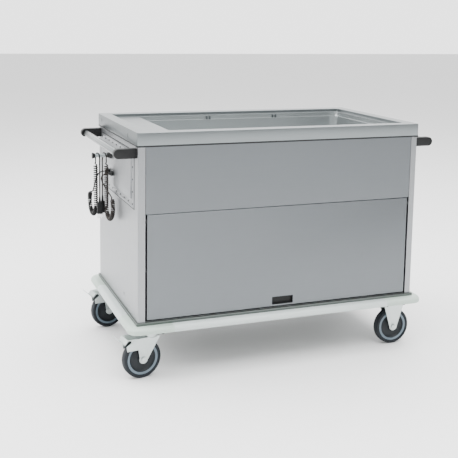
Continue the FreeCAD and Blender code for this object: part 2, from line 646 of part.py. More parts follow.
def make_base():
    """Base tray, welded tube frame with castor gussets, and the bumper round it."""
    lip_x = f"({CAB_END} + base_lip)"
    lip_y = f"({CAB_SIDE} + base_lip)"
    tray = block("tray", (f"-{lip_x}", lip_x), (f"-{lip_y}", lip_y), (FRAME_TOP, "base_top"))
    under = block("tray_hollow", (f"sheet_gauge - {lip_x}", f"{lip_x} - sheet_gauge"),
                  (f"sheet_gauge - {lip_y}", f"{lip_y} - sheet_gauge"),
                  (f"{FRAME_TOP} - sheet_gauge", "base_top - sheet_gauge"))
    node("base_plate", cut("tray_pan", tray, under))

    def ring(name, inset, z, top):
        outer = block(name + "_outer", (f"{inset} - {FRAME_X}", f"{FRAME_X} - {inset}"),
                      (f"{inset} - {FRAME_Y}", f"{FRAME_Y} - {inset}"), (z, top))
        width = f"(frame_tube - {inset})"
        inner = block(name + "_inner", (f"{width} - {FRAME_X}", f"{FRAME_X} - {width}"),
                      (f"{width} - {FRAME_Y}", f"{FRAME_Y} - {width}"),
                      (f"{z} - 1", f"{top} + 1"))
        return cut(name, outer, inner)

    tube_top = "(base_top - sheet_gauge)"
    solid = ring("frame_ring", "0", "frame_bottom", tube_top)
    bore = ring("frame_bore", "frame_wall", "frame_bottom + frame_wall",
                f"{tube_top} - frame_wall")
    hollow_ring = cut("frame_hollow", solid, bore)
    gusset = block("gusset", (f"{FRAME_X} - gusset_length", f"{FRAME_X} - frame_tube"),
                   (f"{FRAME_Y} - gusset_width", f"{FRAME_Y} - frame_tube"),
                   ("frame_bottom", "frame_bottom + gusset_thickness"))
    welded = join("frame_welded", hollow_ring, four_corners("gussets", gusset))
    node("chassis_frame", cut("frame_drilled", welded, bolt_bars("frame_holes", "bearing_gap * 6")))

    profile = lambda start: [
        (start, f"{FRAME_TOP} - bumper_height"),
        (f"{start} + bumper_width", f"{FRAME_TOP} - bumper_height", "bumper_foot_radius"),
        (f"{start} + bumper_width", FRAME_TOP, "bumper_top_radius"), (start, FRAME_TOP)]
    joint_x = f"({FRAME_X} - bumper_corner_leg)"
    joint_y = f"({FRAME_Y} - bumper_corner_leg)"
    end_rail = prism("bumper_end", profile(FRAME_X), "XZ_Plane", f"-{joint_y}", f"2 * {joint_y}")
    long_rail = prism("bumper_long", profile(FRAME_Y), "YZ_Plane", f"-{joint_x}",
                      f"2 * {joint_x}")
    node("bumper_rails", group("rail_set", end_rail, mirror("bumper_end_left", end_rail, "X"),
                               long_rail, mirror("bumper_front", long_rail, "Y")))
    end_leg = prism("corner_end_leg", profile(FRAME_X), "XZ_Plane", f"-{FRAME_Y}",
                    "bumper_corner_leg")
    long_leg = prism("corner_long_leg", profile(FRAME_Y), "YZ_Plane", joint_x,
                     "bumper_corner_leg")
    elbow = turned("corner_elbow", profile("0"), "V_Axis", "XZ_Plane")
    elbow.Group[-1].setExpression("Angle", "90")
    place(elbow, FRAME_X, FRAME_Y, "0")
    corner = join("bumper_corner", end_leg, long_leg, elbow)
    node("bumper_corners", four_corners("bumper_corner_set", corner))


# -------------------------------------------------------------------- castors


def bolt_bars(name, grow="0"):
    """Bars where the castor bolts go, for holes or for the bolts' shanks."""
    bars = []
    for x in (-1, 1):
        for y in (-1, 1):
            bars.append(round_bar(f"{name}_{x + 2}_{y + 2}", "Z",
                                  f"{PLATE_Z} - 1", "plate_thickness + gusset_thickness + 12",
                                  f"bolt_radius + {grow}",
                                  (f"{CASTOR_X} + {x} * bolt_pitch_x / 2",
                                   f"{CASTOR_Y} + {y} * bolt_pitch_y / 2")))
    return four_corners(name + "_all", group(name, *bars))


def make_castor_plates():
    """Top plates of the two swivel castors, with race cup and king pin, and all bolts."""
    def plate(name, x):
        return block(name, (f"{x} - plate_length / 2", f"{x} + plate_length / 2"),
                     (f"{CASTOR_Y} - plate_width / 2", f"{CASTOR_Y} + plate_width / 2"),
                     (PLATE_Z, "frame_bottom"))

    left_x = f"(-{CASTOR_X})"
    cup = round_bar("race_cup", "Z", RACE_Z, "race_height", "race_radius", (left_x, CASTOR_Y))
    pin = round_bar("king_pin", "Z", f"{RACE_Z} - king_pin_length", "king_pin_length + 2",
                    "axle_radius", (left_x, CASTOR_Y))
    nut = round_bar("king_nut", "Z", f"{RACE_Z} - king_pin_length", "king_nut_height",
                    "axle_radius + 4", (left_x, CASTOR_Y))
    swivel = cut("swivel_plate", join("plate_and_cup", plate("left_plate", left_x), cup, pin, nut),
                 bolt_bars("plate_holes", "bearing_gap * 6"))
    node("caster_plates", group("plate_pair", swivel, mirror("plate_front", swivel, "Y")))
    bolts = []
    for x in (-1, 1):
        for y in (-1, 1):
            name = f"bolt_{x + 2}_{y + 2}"
            spot = (f"{CASTOR_X} + {x} * bolt_pitch_x / 2", f"{CASTOR_Y} + {y} * bolt_pitch_y / 2")
            shank = round_bar(name + "_shank", "Z", f"{PLATE_Z} - 5", "plate_thickness + 17",
                              "bolt_radius", spot)
            head = doc.addObject("Part::Prism", name + "_head")
            head.setExpression("Circumradius", bound("bolt_radius * 1.85"))
            head.setExpression("Height", "5")
            place(head, *spot, f"{PLATE_Z} - 5")
            bolts.append(join(name, shank, head))
    node("caster_bolts", four_corners("bolt_set", group("bolt_four", *bolts)))
    return plate


def fork_leg(name, corners):
    """One side plate of a fork, with a round end at the axle at the sketch's x of 0."""
    inner = "(hub_width / 2 + running_gap)"
    leg = prism(name + "_leg", corners, "XZ_Plane", inner, "fork_gauge")
    end = round_bar(name + "_end", "Y", f"-{inner} - fork_gauge", "fork_gauge",
                    "axle_radius * 3", ("0", "wheel_diameter / 2"))
    return join(name + "_plate", leg, end)


def axle(name):
    """Axle bolt with a head outside each leg."""
    reach = "(hub_width / 2 + running_gap + fork_gauge)"
    shank = round_bar(name + "_shank", "Y", f"-{reach}", f"2 * {reach}", "axle_radius",
                      ("0", "wheel_diameter / 2"))
    heads = [round_bar(f"{name}_head_{index}", "Y", start, "5", "axle_radius + 3.5",
                       ("0", "wheel_diameter / 2"))
             for index, start in enumerate((f"-{reach} - 5", reach))]
    return join(name, shank, *heads)


def axle_hole(name):
    """Hole for an axle through both legs."""
    return round_bar(name, "Y", "-hub_width", "2 * hub_width", "axle_radius + bearing_gap",
                     ("0", "wheel_diameter / 2"))


def swivel_turn(piece, y, moved="0"):
    """Set a castor piece, drawn round its axle, at a left corner at its rest angle."""
    angle = "swivel_rest_angle"
    piece.Placement = Placement(Vector(), Rotation(Vector(0, 0, 1), number(angle)))
    piece.setExpression("Placement.Rotation.Angle", bound(angle))
    place(piece, f"-{CASTOR_X} - castor_trail * cos(swivel_rest_angle)",
          f"{y} - castor_trail * sin(swivel_rest_angle)", moved)
    return piece


def make_swivel_fork(name, y):
    """Pressed fork that trails its wheel, with a wing over it and the pedal's pin."""
    crown_top = f"({RACE_Z} - running_gap)"
    back = "castor_trail - fork_behind"
    ahead = "castor_trail + fork_ahead"
    wing = "castor_trail - wing_reach"
    leg = fork_leg(name, [
        ("axle_radius * 3 - 1", "wheel_diameter / 2 - 5"), (ahead, CROWN),
        (ahead, f"{CROWN} + fork_gauge"), (back, f"{CROWN} + fork_gauge"),
        (wing, f"{CROWN} - wing_drop / 2"), (f"{wing} + fork_gauge", f"{CROWN} - wing_drop"),
        (f"{back} + 10", f"{CROWN} - wing_drop"), ("1 - axle_radius * 3", "wheel_diameter / 2 + 8"),
    ])
    other = mirror(name + "_far_leg", leg, "Y")
    inner = "(hub_width / 2 + running_gap + fork_gauge)"
    bridge = block(name + "_bridge", (back, ahead), (f"-{inner}", inner),
                   (CROWN, f"{CROWN} + fork_gauge"))
    disc = taper(name + "_crown", "Z", CROWN, f"{crown_top} - {CROWN}", "race_radius - 4",
                 "race_radius", ("castor_trail", "0"))
    pin = round_bar(name + "_pedal_pin", "Y", f"-{inner} - 4", f"2 * ({inner} + 4)",
                    "axle_radius - 2", PEDAL_PIN)
    bore = round_bar(name + "_bore", "Z", CROWN + " - 5", "race_height + 20",
                     "axle_radius + bearing_gap", ("castor_trail", "0"))
    fork = cut(name + "_bored", join(name + "_body", leg, other, bridge, disc, pin), bore,
               axle_hole(name + "_hole"))
    node(name, swivel_turn(group(name + "_set", fork, axle(name + "_axle")), y))


def make_pedal(name, y):
    """Foot pedal of the total lock, which hangs on the pin of its fork."""
    tip = "castor_trail - pedal_reach"
    back = "castor_trail - fork_behind"
    dip = "castor_trail - pedal_dip"
    low = f"{CROWN} - pedal_dip_drop"
    foot = prism(name + "_foot", [
        (back, f"{CROWN} + 5"), (back, f"{CROWN} + 5 + pedal_gauge"),
        (f"{dip} + 10", f"{CROWN} + 5 + pedal_gauge"), (f"{dip} - 2", f"{low} + 6"),
        (tip, f"{CROWN} + pedal_tip_rise + pedal_gauge"), (tip, f"{CROWN} + pedal_tip_rise"),
        (dip, low), (f"{dip} + 14", f"{CROWN} + 5"),
    ], "XZ_Plane", "-pedal_width / 2", "pedal_width")
    inner = "(hub_width / 2 + 2 * running_gap + fork_gauge)"
    ears = []
    for index, start in enumerate((f"-{inner} - fork_gauge", inner)):
        disc = round_bar(f"{name}_disc_{index}", "Y", start, "fork_gauge", "axle_radius + 3",
                         PEDAL_PIN)
        strap = block(f"{name}_strap_{index}",
                      (f"{PEDAL_PIN[0]} - axle_radius - 3", f"{PEDAL_PIN[0]} + axle_radius + 3"),
                      (start, f"{start} + fork_gauge"), (PEDAL_PIN[1], f"{CROWN} + 7"))
        ears += [disc, strap]
    bore = round_bar(name + "_bore", "Y", "-pedal_width", "2 * pedal_width",
                     "axle_radius - 2 + bearing_gap", PEDAL_PIN)
    pedal = cut(name + "_bored", join(name + "_body", foot, *ears), bore)
    node(name, swivel_turn(group(name + "_set", pedal), y))


def make_wheel(corner, x, y, swivels):
    """Hub and tyre of one wheel, turned about the Y axis of their own sketches."""
    half_hub = "(hub_width / 2)"
    half_tyre = "(tyre_width / 2)"
    outer = "(wheel_diameter / 2)"
    rim = f"({outer} - tyre_depth)"
    side = lambda points: ([(f"-({across})", up) for across, up in points]
                           + [(across, up) for across, up in reversed(points)])
    hub = turned(f"wheel_hub_{corner}", side([
        (half_hub, "axle_radius + bearing_gap"), (half_hub, "axle_radius + 9"),
        (f"{half_hub} - 10", "axle_radius + 13"), (f"{half_hub} - 14", "axle_radius + 16"),
        (f"{half_hub} - 14", f"{rim} - 17"), (f"{half_hub} - 9", f"{rim} - 12"),
        (f"{half_hub} - 6", f"{rim} - 10"), (f"{half_tyre} - 3", rim),
    ]))
    tyre = turned(f"tyre_{corner}", side([
        (f"{half_tyre} - 3", f"{rim} + bearing_gap"), (half_tyre, f"{rim} + 5"),
        (half_tyre, f"{outer} - 6"), (f"{half_tyre} - 3", f"{outer} - 1.5"),
        (f"{half_tyre} - 9", outer),
    ]))
    for name, body in ((f"wheel_hub_{corner}", hub), (f"tyre_{corner}", tyre)):
        if swivels:
            swivel_turn(body, y, "wheel_diameter / 2")
        else:
            place(body, x, y, "wheel_diameter / 2")
        node(name, body)


def make_castors():
    """Two braked swivel castors on the left and two fixed ones on the right."""
    plate = make_castor_plates()
    for corner, y in (("front", f"-{CASTOR_Y}"), ("rear", CASTOR_Y)):
        make_swivel_fork(f"swivel_fork_{corner}", y)
        make_pedal(f"brake_pedal_{corner}", y)
        make_wheel(f"{corner}_left", None, y, True)
        make_wheel(f"{corner}_right", CASTOR_X, y, False)
    leg = fork_leg("rigid", [
        ("axle_radius * 3 - 1", "wheel_diameter / 2 - 4"), ("50", PLATE_Z),
        ("-50", PLATE_Z), ("1 - axle_radius * 3", "wheel_diameter / 2 - 4"),
    ])
    both = cut("rigid_legs", join("rigid_leg_pair", leg, mirror("rigid_far_leg", leg, "Y")),
               axle_hole("rigid_hole"))
    place(both, CASTOR_X, CASTOR_Y, "0")
    body = cut("rigid_fork", join("rigid_body", both, plate("right_plate", CASTOR_X)),
               bolt_bars("rigid_plate_holes", "bearing_gap * 6"))
    bolt = axle("rigid_axle")
    place(bolt, CASTOR_X, CASTOR_Y, "0")
    pair = group("rigid_rear", body, bolt)
    node("rigid_forks", group("rigid_pair", pair, mirror("rigid_front", pair, "Y")))


# -------------------------------------------------------------------- handles


def make_handles():
    """Push bar at each end, held by hook-shaped plastic brackets with closed ends."""
    x = f"({CAB_END} + handle_reach)"
    reach = "(handle_bracket_y + bracket_thickness / 2 - bracket_cap)"
    bar = round_bar("handle_bar", "Y", f"-{reach}", f"2 * {reach}", "handle_radius",
                    (x, HANDLE_Z))
    bore = round_bar("handle_bore", "Y", f"3 - {reach}", f"2 * {reach} - 6",
                     "handle_radius - handle_wall", (x, HANDLE_Z))
    tube = cut("handle_right", bar, bore)
    node("handle_tubes", group("handle_pair", tube, mirror("handle_left", tube, "X")))
    start = "(handle_bracket_y - bracket_thickness / 2)"
    half = "bracket_height / 2"
    arm = block("bracket_arm", (CAB_END, x), (start, f"{start} + bracket_thickness"),
                (f"{HANDLE_Z} - {half}", f"{HANDLE_Z} + {half}"))
    eye = round_bar("bracket_eye", "Y", start, "bracket_thickness", half, (x, HANDLE_Z))
    hole = round_bar("bracket_hole", "Y", f"{start} - 1", f"{reach} - {start} + 1",
                     "handle_radius + bearing_gap", (x, HANDLE_Z))
    mouth = block("bracket_mouth", (f"{x} - handle_radius / 2", f"{x} + handle_radius / 2"),
                  (f"{start} - 1", reach), (f"{HANDLE_Z} - bracket_height", HANDLE_Z))
    bracket = cut("handle_bracket", join("bracket_body", arm, eye), hole, mouth)
    node("handle_brackets", four_corners("bracket_set", bracket))


# ---------------------------------------- service cover, cord hook and glands


def make_service_cover():
    """Thin pan screwed over the opening in the left side, and its screws."""
    face = f"(-{COVER_FACE})"
    flange = block("cover_flange", (f"-{CAB_END} - sheet_gauge", f"-{CAB_END}"),
                   ("-cover_length / 2", "cover_length / 2"),
                   (COVER_LOW, COVER_TOP))
    y = ("cover_border - cover_length / 2", "cover_length / 2 - cover_border")
    z = (f"{COVER_LOW} + cover_border", f"{COVER_TOP} - cover_border")
    field = block("cover_field", (face, f"-{CAB_END}"), y, z)
    inside = block("cover_inside", (f"{face} + sheet_gauge", f"1 - {CAB_END}"),
                   (f"{y[0]} + sheet_gauge", f"{y[1]} - sheet_gauge"),
                   (f"{z[0]} + sheet_gauge", f"{z[1]} - sheet_gauge"))
    node("service_cover", cut("cover_pan", join("cover_body", flange, field), inside,
                              screw_holes("cover_holes")))
    screws = []
    for index, spot in enumerate(screw_places()):
        shank = round_bar(f"screw_shank_{index}", "X", f"-{CAB_END} - 1.5 * sheet_gauge",
                          "5 * sheet_gauge", "screw_radius", spot)
        head = taper(f"screw_head_{index}", "X", f"-{CAB_END} - sheet_gauge - 2.2", "2.2",
                     "screw_head_radius * 0.6", "screw_head_radius", spot)
        screws.append(join(f"screw_{index}", shank, head))
    node("cover_screws", group("screw_set", *screws))
    spot = ("hook_y", HOOK_Z)
    node("cord_hook", round_bar("hook_bar", "X", f"{face} - hook_length + 2", "hook_length - 2",
                                "hook_radius", spot))
    bore = round_bar("hook_stop_bore", "X", f"{face} - hook_length + 2", "hook_length",
                     "hook_radius + bearing_gap", spot)
    root = taper("hook_root", "X", f"{face} - 20", "20", "hook_radius + 2", "hook_radius + 9",
                 spot)
    tip = taper("hook_tip", "X", f"{face} - hook_length", "12", "hook_radius + 6",
                "hook_radius + 2", spot)
    node("hook_stops", cut("hook_stop_pair", group("hook_stop_blanks", root, tip), bore))
    glands = []
    for name, y in (("front", "front_gland_y"), ("rear", "rear_gland_y")):
        nut = doc.addObject("Part::Prism", f"gland_nut_{name}")
        nut.Placement = Placement(Vector(), TURN_TO["X"])
        nut.setExpression("Circumradius", bound("gland_radius"))
        nut.setExpression("Height", bound("gland_length / 2"))
        place(nut, f"{face} - gland_length / 2", y, GLAND_Z)
        dome = taper(f"gland_dome_{name}", "X", f"{face} - gland_length",
                     "gland_length / 2", "lead_radius * 1.6", "gland_radius * 0.8",
                     (y, GLAND_Z))
        glands.append(join(f"gland_{name}", nut, dome))
    node("cord_glands", group("gland_pair", *glands))


# ----------------------------------------------------------- electrical parts


def bent_tube(name, points, radius, bend):
    """Closed tube along straight runs joined by arcs of one bend radius."""
    edges = []
    start = points[0]
    for before, corner, after in zip(points, points[1:], points[2:]):
        back = (before - corner).normalize()
        ahead = (after - corner).normalize()
        half_turn = (math.pi - back.getAngle(ahead)) / 2
        trim = bend * math.tan(half_turn)
        first, last = corner + back * trim, corner + ahead * trim
        bisector = (back + ahead).normalize()
        middle = corner + bisector * (bend / math.cos(half_turn) - bend)
        edges += [Part.LineSegment(start, first).toShape(),
                  Part.Arc(first, middle, last).toShape()]
        start = last
    edges.append(Part.LineSegment(start, points[-1]).toShape())
    return sweep(name, edges, radius)


def sweep(name, edges, radius):
    """Round tube along joined edges, as a document object."""
    path = Part.Wire(edges)
    start = path.OrderedVertexes[0].Point
    first = path.OrderedEdges[0]
    along = first.tangentAt(first.FirstParameter)
    if first.valueAt(first.FirstParameter).distanceToPoint(start) > 1e-6:
        along = -first.tangentAt(first.LastParameter)
    section = Part.Wire([Part.Circle(start, along, radius).toShape()])
    tube = doc.addObject("Part::Feature", name)
    tube.Shape = path.makePipeShell([section], True, False)
    return tube


def make_heating():
    """Serpentine element under the well and a second one on the cupboard floor."""
    radius = number("element_radius")
    spread = number("element_spread")
    half = number("element_length / 2")
    seam = number("seam_gap")
    under_well = number(f"{WELL_FLOOR} - sheet_gauge") - seam - radius
    runs = []
    for row in range(4):
        y = (row - 1.5) * spread
        ends = (-half, half) if row % 2 == 0 else (half, -half)
        runs += [Vector(x, y, under_well) for x in ends]
    serpentine = bent_tube("well_element", runs, radius, spread / 2 - 0.01)
    on_floor = number(FLOOR_TOP) + seam + radius
    back = number(BACK_Y) - spread / 2
    loop = [Vector(-half, back, on_floor), Vector(half, back, on_floor),
            Vector(half, back - spread, on_floor), Vector(-half, back - spread, on_floor)]
    cupboard = bent_tube("cupboard_element", loop, radius, spread / 2 - 0.01)
    node("heating_elements", group("element_pair", serpentine, cupboard))


def make_controls():
    """Back control panel with thermostats, knobs, rocker switches and lamps."""
    out = f"({CAB_SIDE} + panel_thickness)"
    plate = block("control_plate",
                  (f"{PANEL_X} - panel_width / 2", f"{PANEL_X} + panel_width / 2"),
                  (CAB_SIDE, out), (CONTROL_LOW, CONTROL_TOP))
    switches = (("well", "-"), ("cupboard", "+"))
    frames, windows = [], []
    for name, sign in switches:
        x = f"({PANEL_X} {sign} switch_spacing / 2)"
        wide = "(rocker_width / 2 + running_gap)"
        tall = "(rocker_height / 2 + rocker_gap)"
        frames.append(block(f"{name}_bezel", (f"{x} - {wide} - 3", f"{x} + {wide} + 3"),
                            (out, f"{out} + 2"),
                            (f"{SWITCH_Z} - {tall} - 3", f"{SWITCH_Z} + {tall} + 3")))
        windows.append(block(f"{name}_window", (f"{x} - {wide}", f"{x} + {wide}"),
                             (f"{CAB_SIDE} - 5", f"{out} + 5"),
                             (f"{SWITCH_Z} - {tall}", f"{SWITCH_Z} + {tall}")))
        windows.append(round_bar(f"{name}_lamp_hole", "Y", f"{CAB_SIDE} - 5", "20",
                                 "lamp_radius + bearing_gap", (x, LAMP_Z)))
        windows.append(round_bar(f"{name}_spindle_hole", "Y", f"{CAB_SIDE} - 5", "20",
                                 "spindle_radius + 1", (PANEL_X, KNOB_Z[name])))
    node("control_panel", cut("panel_drilled", join("panel_body", plate, *frames), *windows))
    thermostats, lamps = [], []
    for name, sign in switches:
        z = KNOB_Z[name]
        half = "thermostat_size / 2"
        case = block(f"{name}_thermostat", (f"{PANEL_X} - {half}", f"{PANEL_X} + {half}"),
                     (f"{CAB_SIDE} - thermostat_depth", CAB_SIDE),
                     (f"{z} - {half}", f"{z} + {half}"))
        spindle = round_bar(f"{name}_spindle", "Y", f"{CAB_SIDE} - 1", "knob_length",
                            "spindle_radius", (PANEL_X, z))
        thermostats.append(join(f"{name}_thermostat_body", case, spindle))
        bore = round_bar(f"{name}_knob_bore", "Y", out, "knob_length - 1",
                         "spindle_radius + bearing_gap", (PANEL_X, z))
        skirt = taper(f"{name}_knob_skirt", "Y", f"{out} + running_gap", "knob_length * 0.35",
                      "knob_radius", "knob_radius * 0.92", (PANEL_X, z))
        grip = taper(f"{name}_knob_grip", "Y", f"{out} + knob_length * 0.3",
                     "knob_length * 0.75", "knob_radius * 0.74", "knob_radius * 0.66",
                     (PANEL_X, z))
        node(f"{name}_knob", cut(f"{name}_knob_bored",
                                 join(f"{name}_knob_body", skirt, grip), bore))
        x = f"({PANEL_X} {sign} switch_spacing / 2)"
        stem = round_bar(f"{name}_lamp_stem", "Y", f"{CAB_SIDE} - 8",
                         "panel_thickness + 8", "lamp_radius", (x, LAMP_Z))
        dome = taper(f"{name}_lamp_dome", "Y", out, "3", "lamp_radius + 1.5", "lamp_radius - 1",
                     (x, LAMP_Z))
        lamps.append(join(f"{name}_lamp", stem, dome))
        rocker = prism(f"{name}_rocker", [
            ("-rocker_height / 2", "-5"), ("rocker_height / 2", "-5"),
            ("rocker_height / 2", "5"), ("0", "3"), ("-rocker_height / 2", "5"),
        ], "YZ_Plane", "-rocker_width / 2", "rocker_width")
        rocker.Placement = Placement(Vector(), Rotation(Vector(1, 0, 0), -90))
        rocker.setExpression("Placement.Rotation.Angle", bound("rocker_tilt - 90"))
        rocker.setExpression("Placement.Rotation.Axis.x", "1")
        place(rocker, x, out, SWITCH_Z)
        node(f"{name}_switch", rocker)
    node("pilot_lamps", group("lamp_pair", *lamps))
    terminals = block("terminal_block", (f"-{WALL_X}", f"60 - {WALL_X}"), ("-45", "45"),
                      (f"{CEILING} + sheet_gauge", f"{CEILING} + sheet_gauge + 30"))
    node("switchgear", group("thermostats_and_terminals", *thermostats, terminals))


def make_drain():
    """Drain pipe from the well to a lever valve on the back."""
    x, z = DRAIN_LINE
    face = f"({CAB_SIDE} + seam_gap)"
    down = round_bar("drain_down", "Z", z, "drain_drop - sheet_gauge", "drain_radius",
                     (DRAIN_X, "drain_y"))
    elbow = doc.addObject("Part::Sphere", "drain_elbow")
    elbow.setExpression("Radius", bound("drain_radius"))
    place(elbow, DRAIN_X, "drain_y", z)
    along = round_bar("drain_along", "Y", "drain_y", f"{face} - drain_y", "drain_radius", (x, z))
    valve = round_bar("drain_valve_case", "Y", face, "valve_length", "valve_radius", (x, z))
    spigot = round_bar("drain_spigot", "Y", f"{face} + valve_length", "spigot_length",
                       "spigot_radius", (x, z))
    middle = f"({face} + valve_length / 2)"
    stem = round_bar("drain_stem", "Z", z, "valve_radius + 14", "5", (DRAIN_X, middle))
    bore = round_bar("drain_bore", "Y", f"{face} + valve_length / 2",
                     "valve_length + spigot_length", "spigot_radius - 2", (x, z))
    node("drain_valve", cut("drain_bored", join("drain_body", down, elbow, along, valve, spigot,
                                                stem), bore))
    low = f"({z} + valve_radius + 5)"
    bar = block("lever_bar", (DRAIN_X, f"{DRAIN_X} + lever_length"),
                (f"{middle} - lever_width / 2", f"{middle} + lever_width / 2"),
                (low, f"{low} + 6"))
    boss = round_bar("lever_boss", "Z", low, "6", "9", (DRAIN_X, middle))
    hole = round_bar("lever_hole", "Z", f"{low} - 1", "12", "5 + bearing_gap",
                     (DRAIN_X, middle))
    node("drain_lever", cut("lever_bored", join("lever_body", bar, boss), hole))


# ---------------------------------------------------------- curly mains leads


def arc_between(start, along, stop):
    """Arc from a point along a direction to another point, and its end direction."""
    chord = stop - start
    side = chord - along * chord.dot(along)
    if side.Length < 1e-9:
        return Part.LineSegment(start, stop).toShape(), along, float("inf")
    side.normalize()
    radius = chord.dot(chord) / (2 * chord.dot(side))
    centre = start + side * radius
    bisector = ((start + stop) * 0.5 - centre).normalize()
    middle = centre + bisector * radius
    if along.dot(chord) < 0:
        middle = centre - bisector * radius
    end = 2 * chord.dot(along) / chord.dot(chord)
    end_along = (chord * end - along).normalize()
    return Part.Arc(start, middle, stop).toShape(), end_along, radius


def biarc(start, along, stop, onward):
    """Two arcs that leave one point and reach another along given directions."""
    chord = stop - start
    both = along + onward
    a = both.dot(both) - 4
    b = -2 * chord.dot(both)
    c = chord.dot(chord)
    reach = (-b - math.sqrt(b * b - 4 * a * c)) / (2 * a) if abs(a) > 1e-9 else -c / b
    knot = (start + along * reach + stop - onward * reach) * 0.5
    first, middle_along, first_radius = arc_between(start, along, knot)
    second, _, second_radius = arc_between(knot, middle_along, stop)
    return [first, second], min(first_radius, second_radius)


def coil_centre(distance, side, reach, wall):
    """Point and direction of the coil's own centre line after a distance from its top.

    It hangs straight from the hook, then goes most of the way round a loop that
    leans away from where it started.
    """
    bar = number("hook_radius + lead_radius + seam_gap")
    y = number("hook_y") + side * bar
    top = number(f"{HOOK_Z} - coil_start_drop")
    drop = number("coil_drop")
    loop = number("loop_radius")
    shift = number("loop_shift")
    x = wall - reach
    if distance < drop:
        return Vector(x, y, top - distance), Vector(0, 0, -1)
    angle = (distance - drop) / loop
    sweep_angle = math.radians(number("loop_sweep"))
    turned_part = angle / sweep_angle
    lean = -shift * side * turned_part ** 2 * (3 - 2 * turned_part)
    point = Vector(x + lean, y + side * loop * (1 - math.cos(angle)),
                   top - drop - loop * math.sin(angle))
    slope = -shift * side * 6 * turned_part * (1 - turned_part) / sweep_angle / loop
    along = Vector(slope, side * math.sin(angle), -math.cos(angle)).normalize()
    return point, along


def make_lead(name, side, reach, gland_y):
    """One curly lead: gland tail, coil with its loop, and the tail over the hook."""
    wall = -number(COVER_FACE)
    wire = number("lead_radius")
    total = number("coil_drop") + number("loop_radius") * math.radians(number("loop_sweep"))
    curls = int(number("curls"))
    curl_radius = number("curl_radius")
    ease_turns = number("curl_ease")
    lead_in = number("coil_lead_in")
    stretch = number("curl_stretch")

    def curl_point(turn):
        share = turn / curls
        distance = (lead_in + (total - 2 * lead_in - 2 * stretch) * share * (1.1 - 0.1 * share)
                    + stretch * (min(1.0, turn) + max(0.0, 1 - curls + turn)))
        centre, along = coil_centre(distance, side, reach, wall)
        sideways = Vector(1, 0, 0)
        sideways = (sideways - along * sideways.dot(along)).normalize()
        other = along.cross(sideways)
        ease = min(1.0, turn / ease_turns, (curls - turn) / ease_turns)
        spread = curl_radius * ease * ease * (3 - 2 * ease)
        angle = 2 * math.pi * turn
        return centre + (sideways * math.cos(angle) + other * math.sin(angle)) * spread

    quarters = range(4 * curls + 1)
    eased = 4 * ease_turns
    turns = [index / 4 for index in quarters
             if index % 2 == 0 or index < eased or index > 4 * curls - eased]
    small = 0.001
    points = [curl_point(turn) for turn in turns]
    slopes = [(curl_point(min(turn + small, curls)) - curl_point(max(turn - small, 0))).normalize()
              for turn in turns]
    top, down = coil_centre(0, side, reach, wall)
    bottom, out = coil_centre(total, side, reach, wall)
    slopes[0], slopes[-1] = down, out
    edges = [Part.LineSegment(top, points[0]).toShape()]
    tightest = float("inf")
    for begin, along, end, onward in zip(points, slopes, points[1:], slopes[1:]):
        arcs, radius = biarc(begin, along, end, onward)
        edges += arcs
        tightest = min(tightest, radius)
    edges.append(Part.LineSegment(points[-1], bottom).toShape())
    coil = sweep(f"lead_coil_{name}", edges, wire)
    node(f"lead_coil_{name}", coil)
    gap = coil_self_gap(curl_point, curls, wire)
    print(f"lead_coil_{name}: tightest arc {tightest:.1f}, least gap to itself {gap:.2f}, "
          f"volume ratio {tube_ratio(coil, edges, wire):.3f}")

    over = number("hook_radius + lead_radius + seam_gap")
    hook_y = number("hook_y")
    hook_z = number(HOOK_Z)
    x = wall - reach
    shift = number("strand_shift") * side

    def bar_point(share):
        """Point on the wire's way over the hook, where it also moves along the bar."""
        angle = math.pi * share
        return Vector(x + shift * share * share * (3 - 2 * share),
                      hook_y + side * over * math.cos(angle), hook_z + over * math.sin(angle))

    shares = [index / 6 for index in range(7)]
    on_bar = [bar_point(share) for share in shares]
    bar_slopes = [(bar_point(share + small) - bar_point(share - small)).normalize()
                  for share in shares]
    bar_slopes[0], bar_slopes[-1] = -down, down
    over_hook = [Part.LineSegment(top, on_bar[0]).toShape()]
    tightest = float("inf")
    for begin, along, end, onward in zip(on_bar, bar_slopes, on_bar[1:], bar_slopes[1:]):
        arcs, radius = biarc(begin, along, end, onward)
        over_hook += arcs
        tightest = min(tightest, radius)
    drop = number("plug_drop")
    fall = on_bar[-1]
    hanging_edges = [Part.LineSegment(fall, fall + down * drop).toShape()]
    radii = [tightest]
    plug_tail = sweep(f"lead_tail_{name}", over_hook + hanging_edges, wire)
    mouth = Vector(wall - number("gland_length"), gland_y, number(GLAND_Z))
    bow = number("feed_bow")
    rise_to = (bottom.y - gland_y) / -out.y
    corner = bottom + out * rise_to
    outer = mouth + Vector(-bow, 0, -0.55 * bow)
    halfway = (outer + corner) * 0.5 + Vector(-2, 0, 0)
    feed = [bottom, corner, halfway, outer, mouth + Vector(-0.58 * bow, 0, 0), mouth]
    feed_edges, feed_radii = run_edges(feed)
    gland_tail = sweep(f"lead_feed_{name}", feed_edges, wire)
    print(f"lead_{name}: bend radii "
          + ", ".join(f"{radius:.0f}" for radius in radii + feed_radii)
          + f", volume ratios {tube_ratio(gland_tail, feed_edges, wire):.3f}"
          + f" and {tube_ratio(plug_tail, over_hook + hanging_edges, wire):.3f}")
    node(f"lead_{name}", group(f"lead_{name}_set", plug_tail, gland_tail))
    make_plug(name, fall.x, fall.y, hook_z - drop)


def coil_self_gap(curl_point, curls, wire):
    """Least clear distance between stretches of a coil over half a turn apart."""
    per_turn = 24
    points = [curl_point(index / per_turn) for index in range(curls * per_turn + 1)]
    least = float("inf")
    for index, point in enumerate(points):
        for other in points[index + per_turn // 2:index + 3 * per_turn]:
            least = min(least, point.distanceToPoint(other))
    return least - 2 * wire


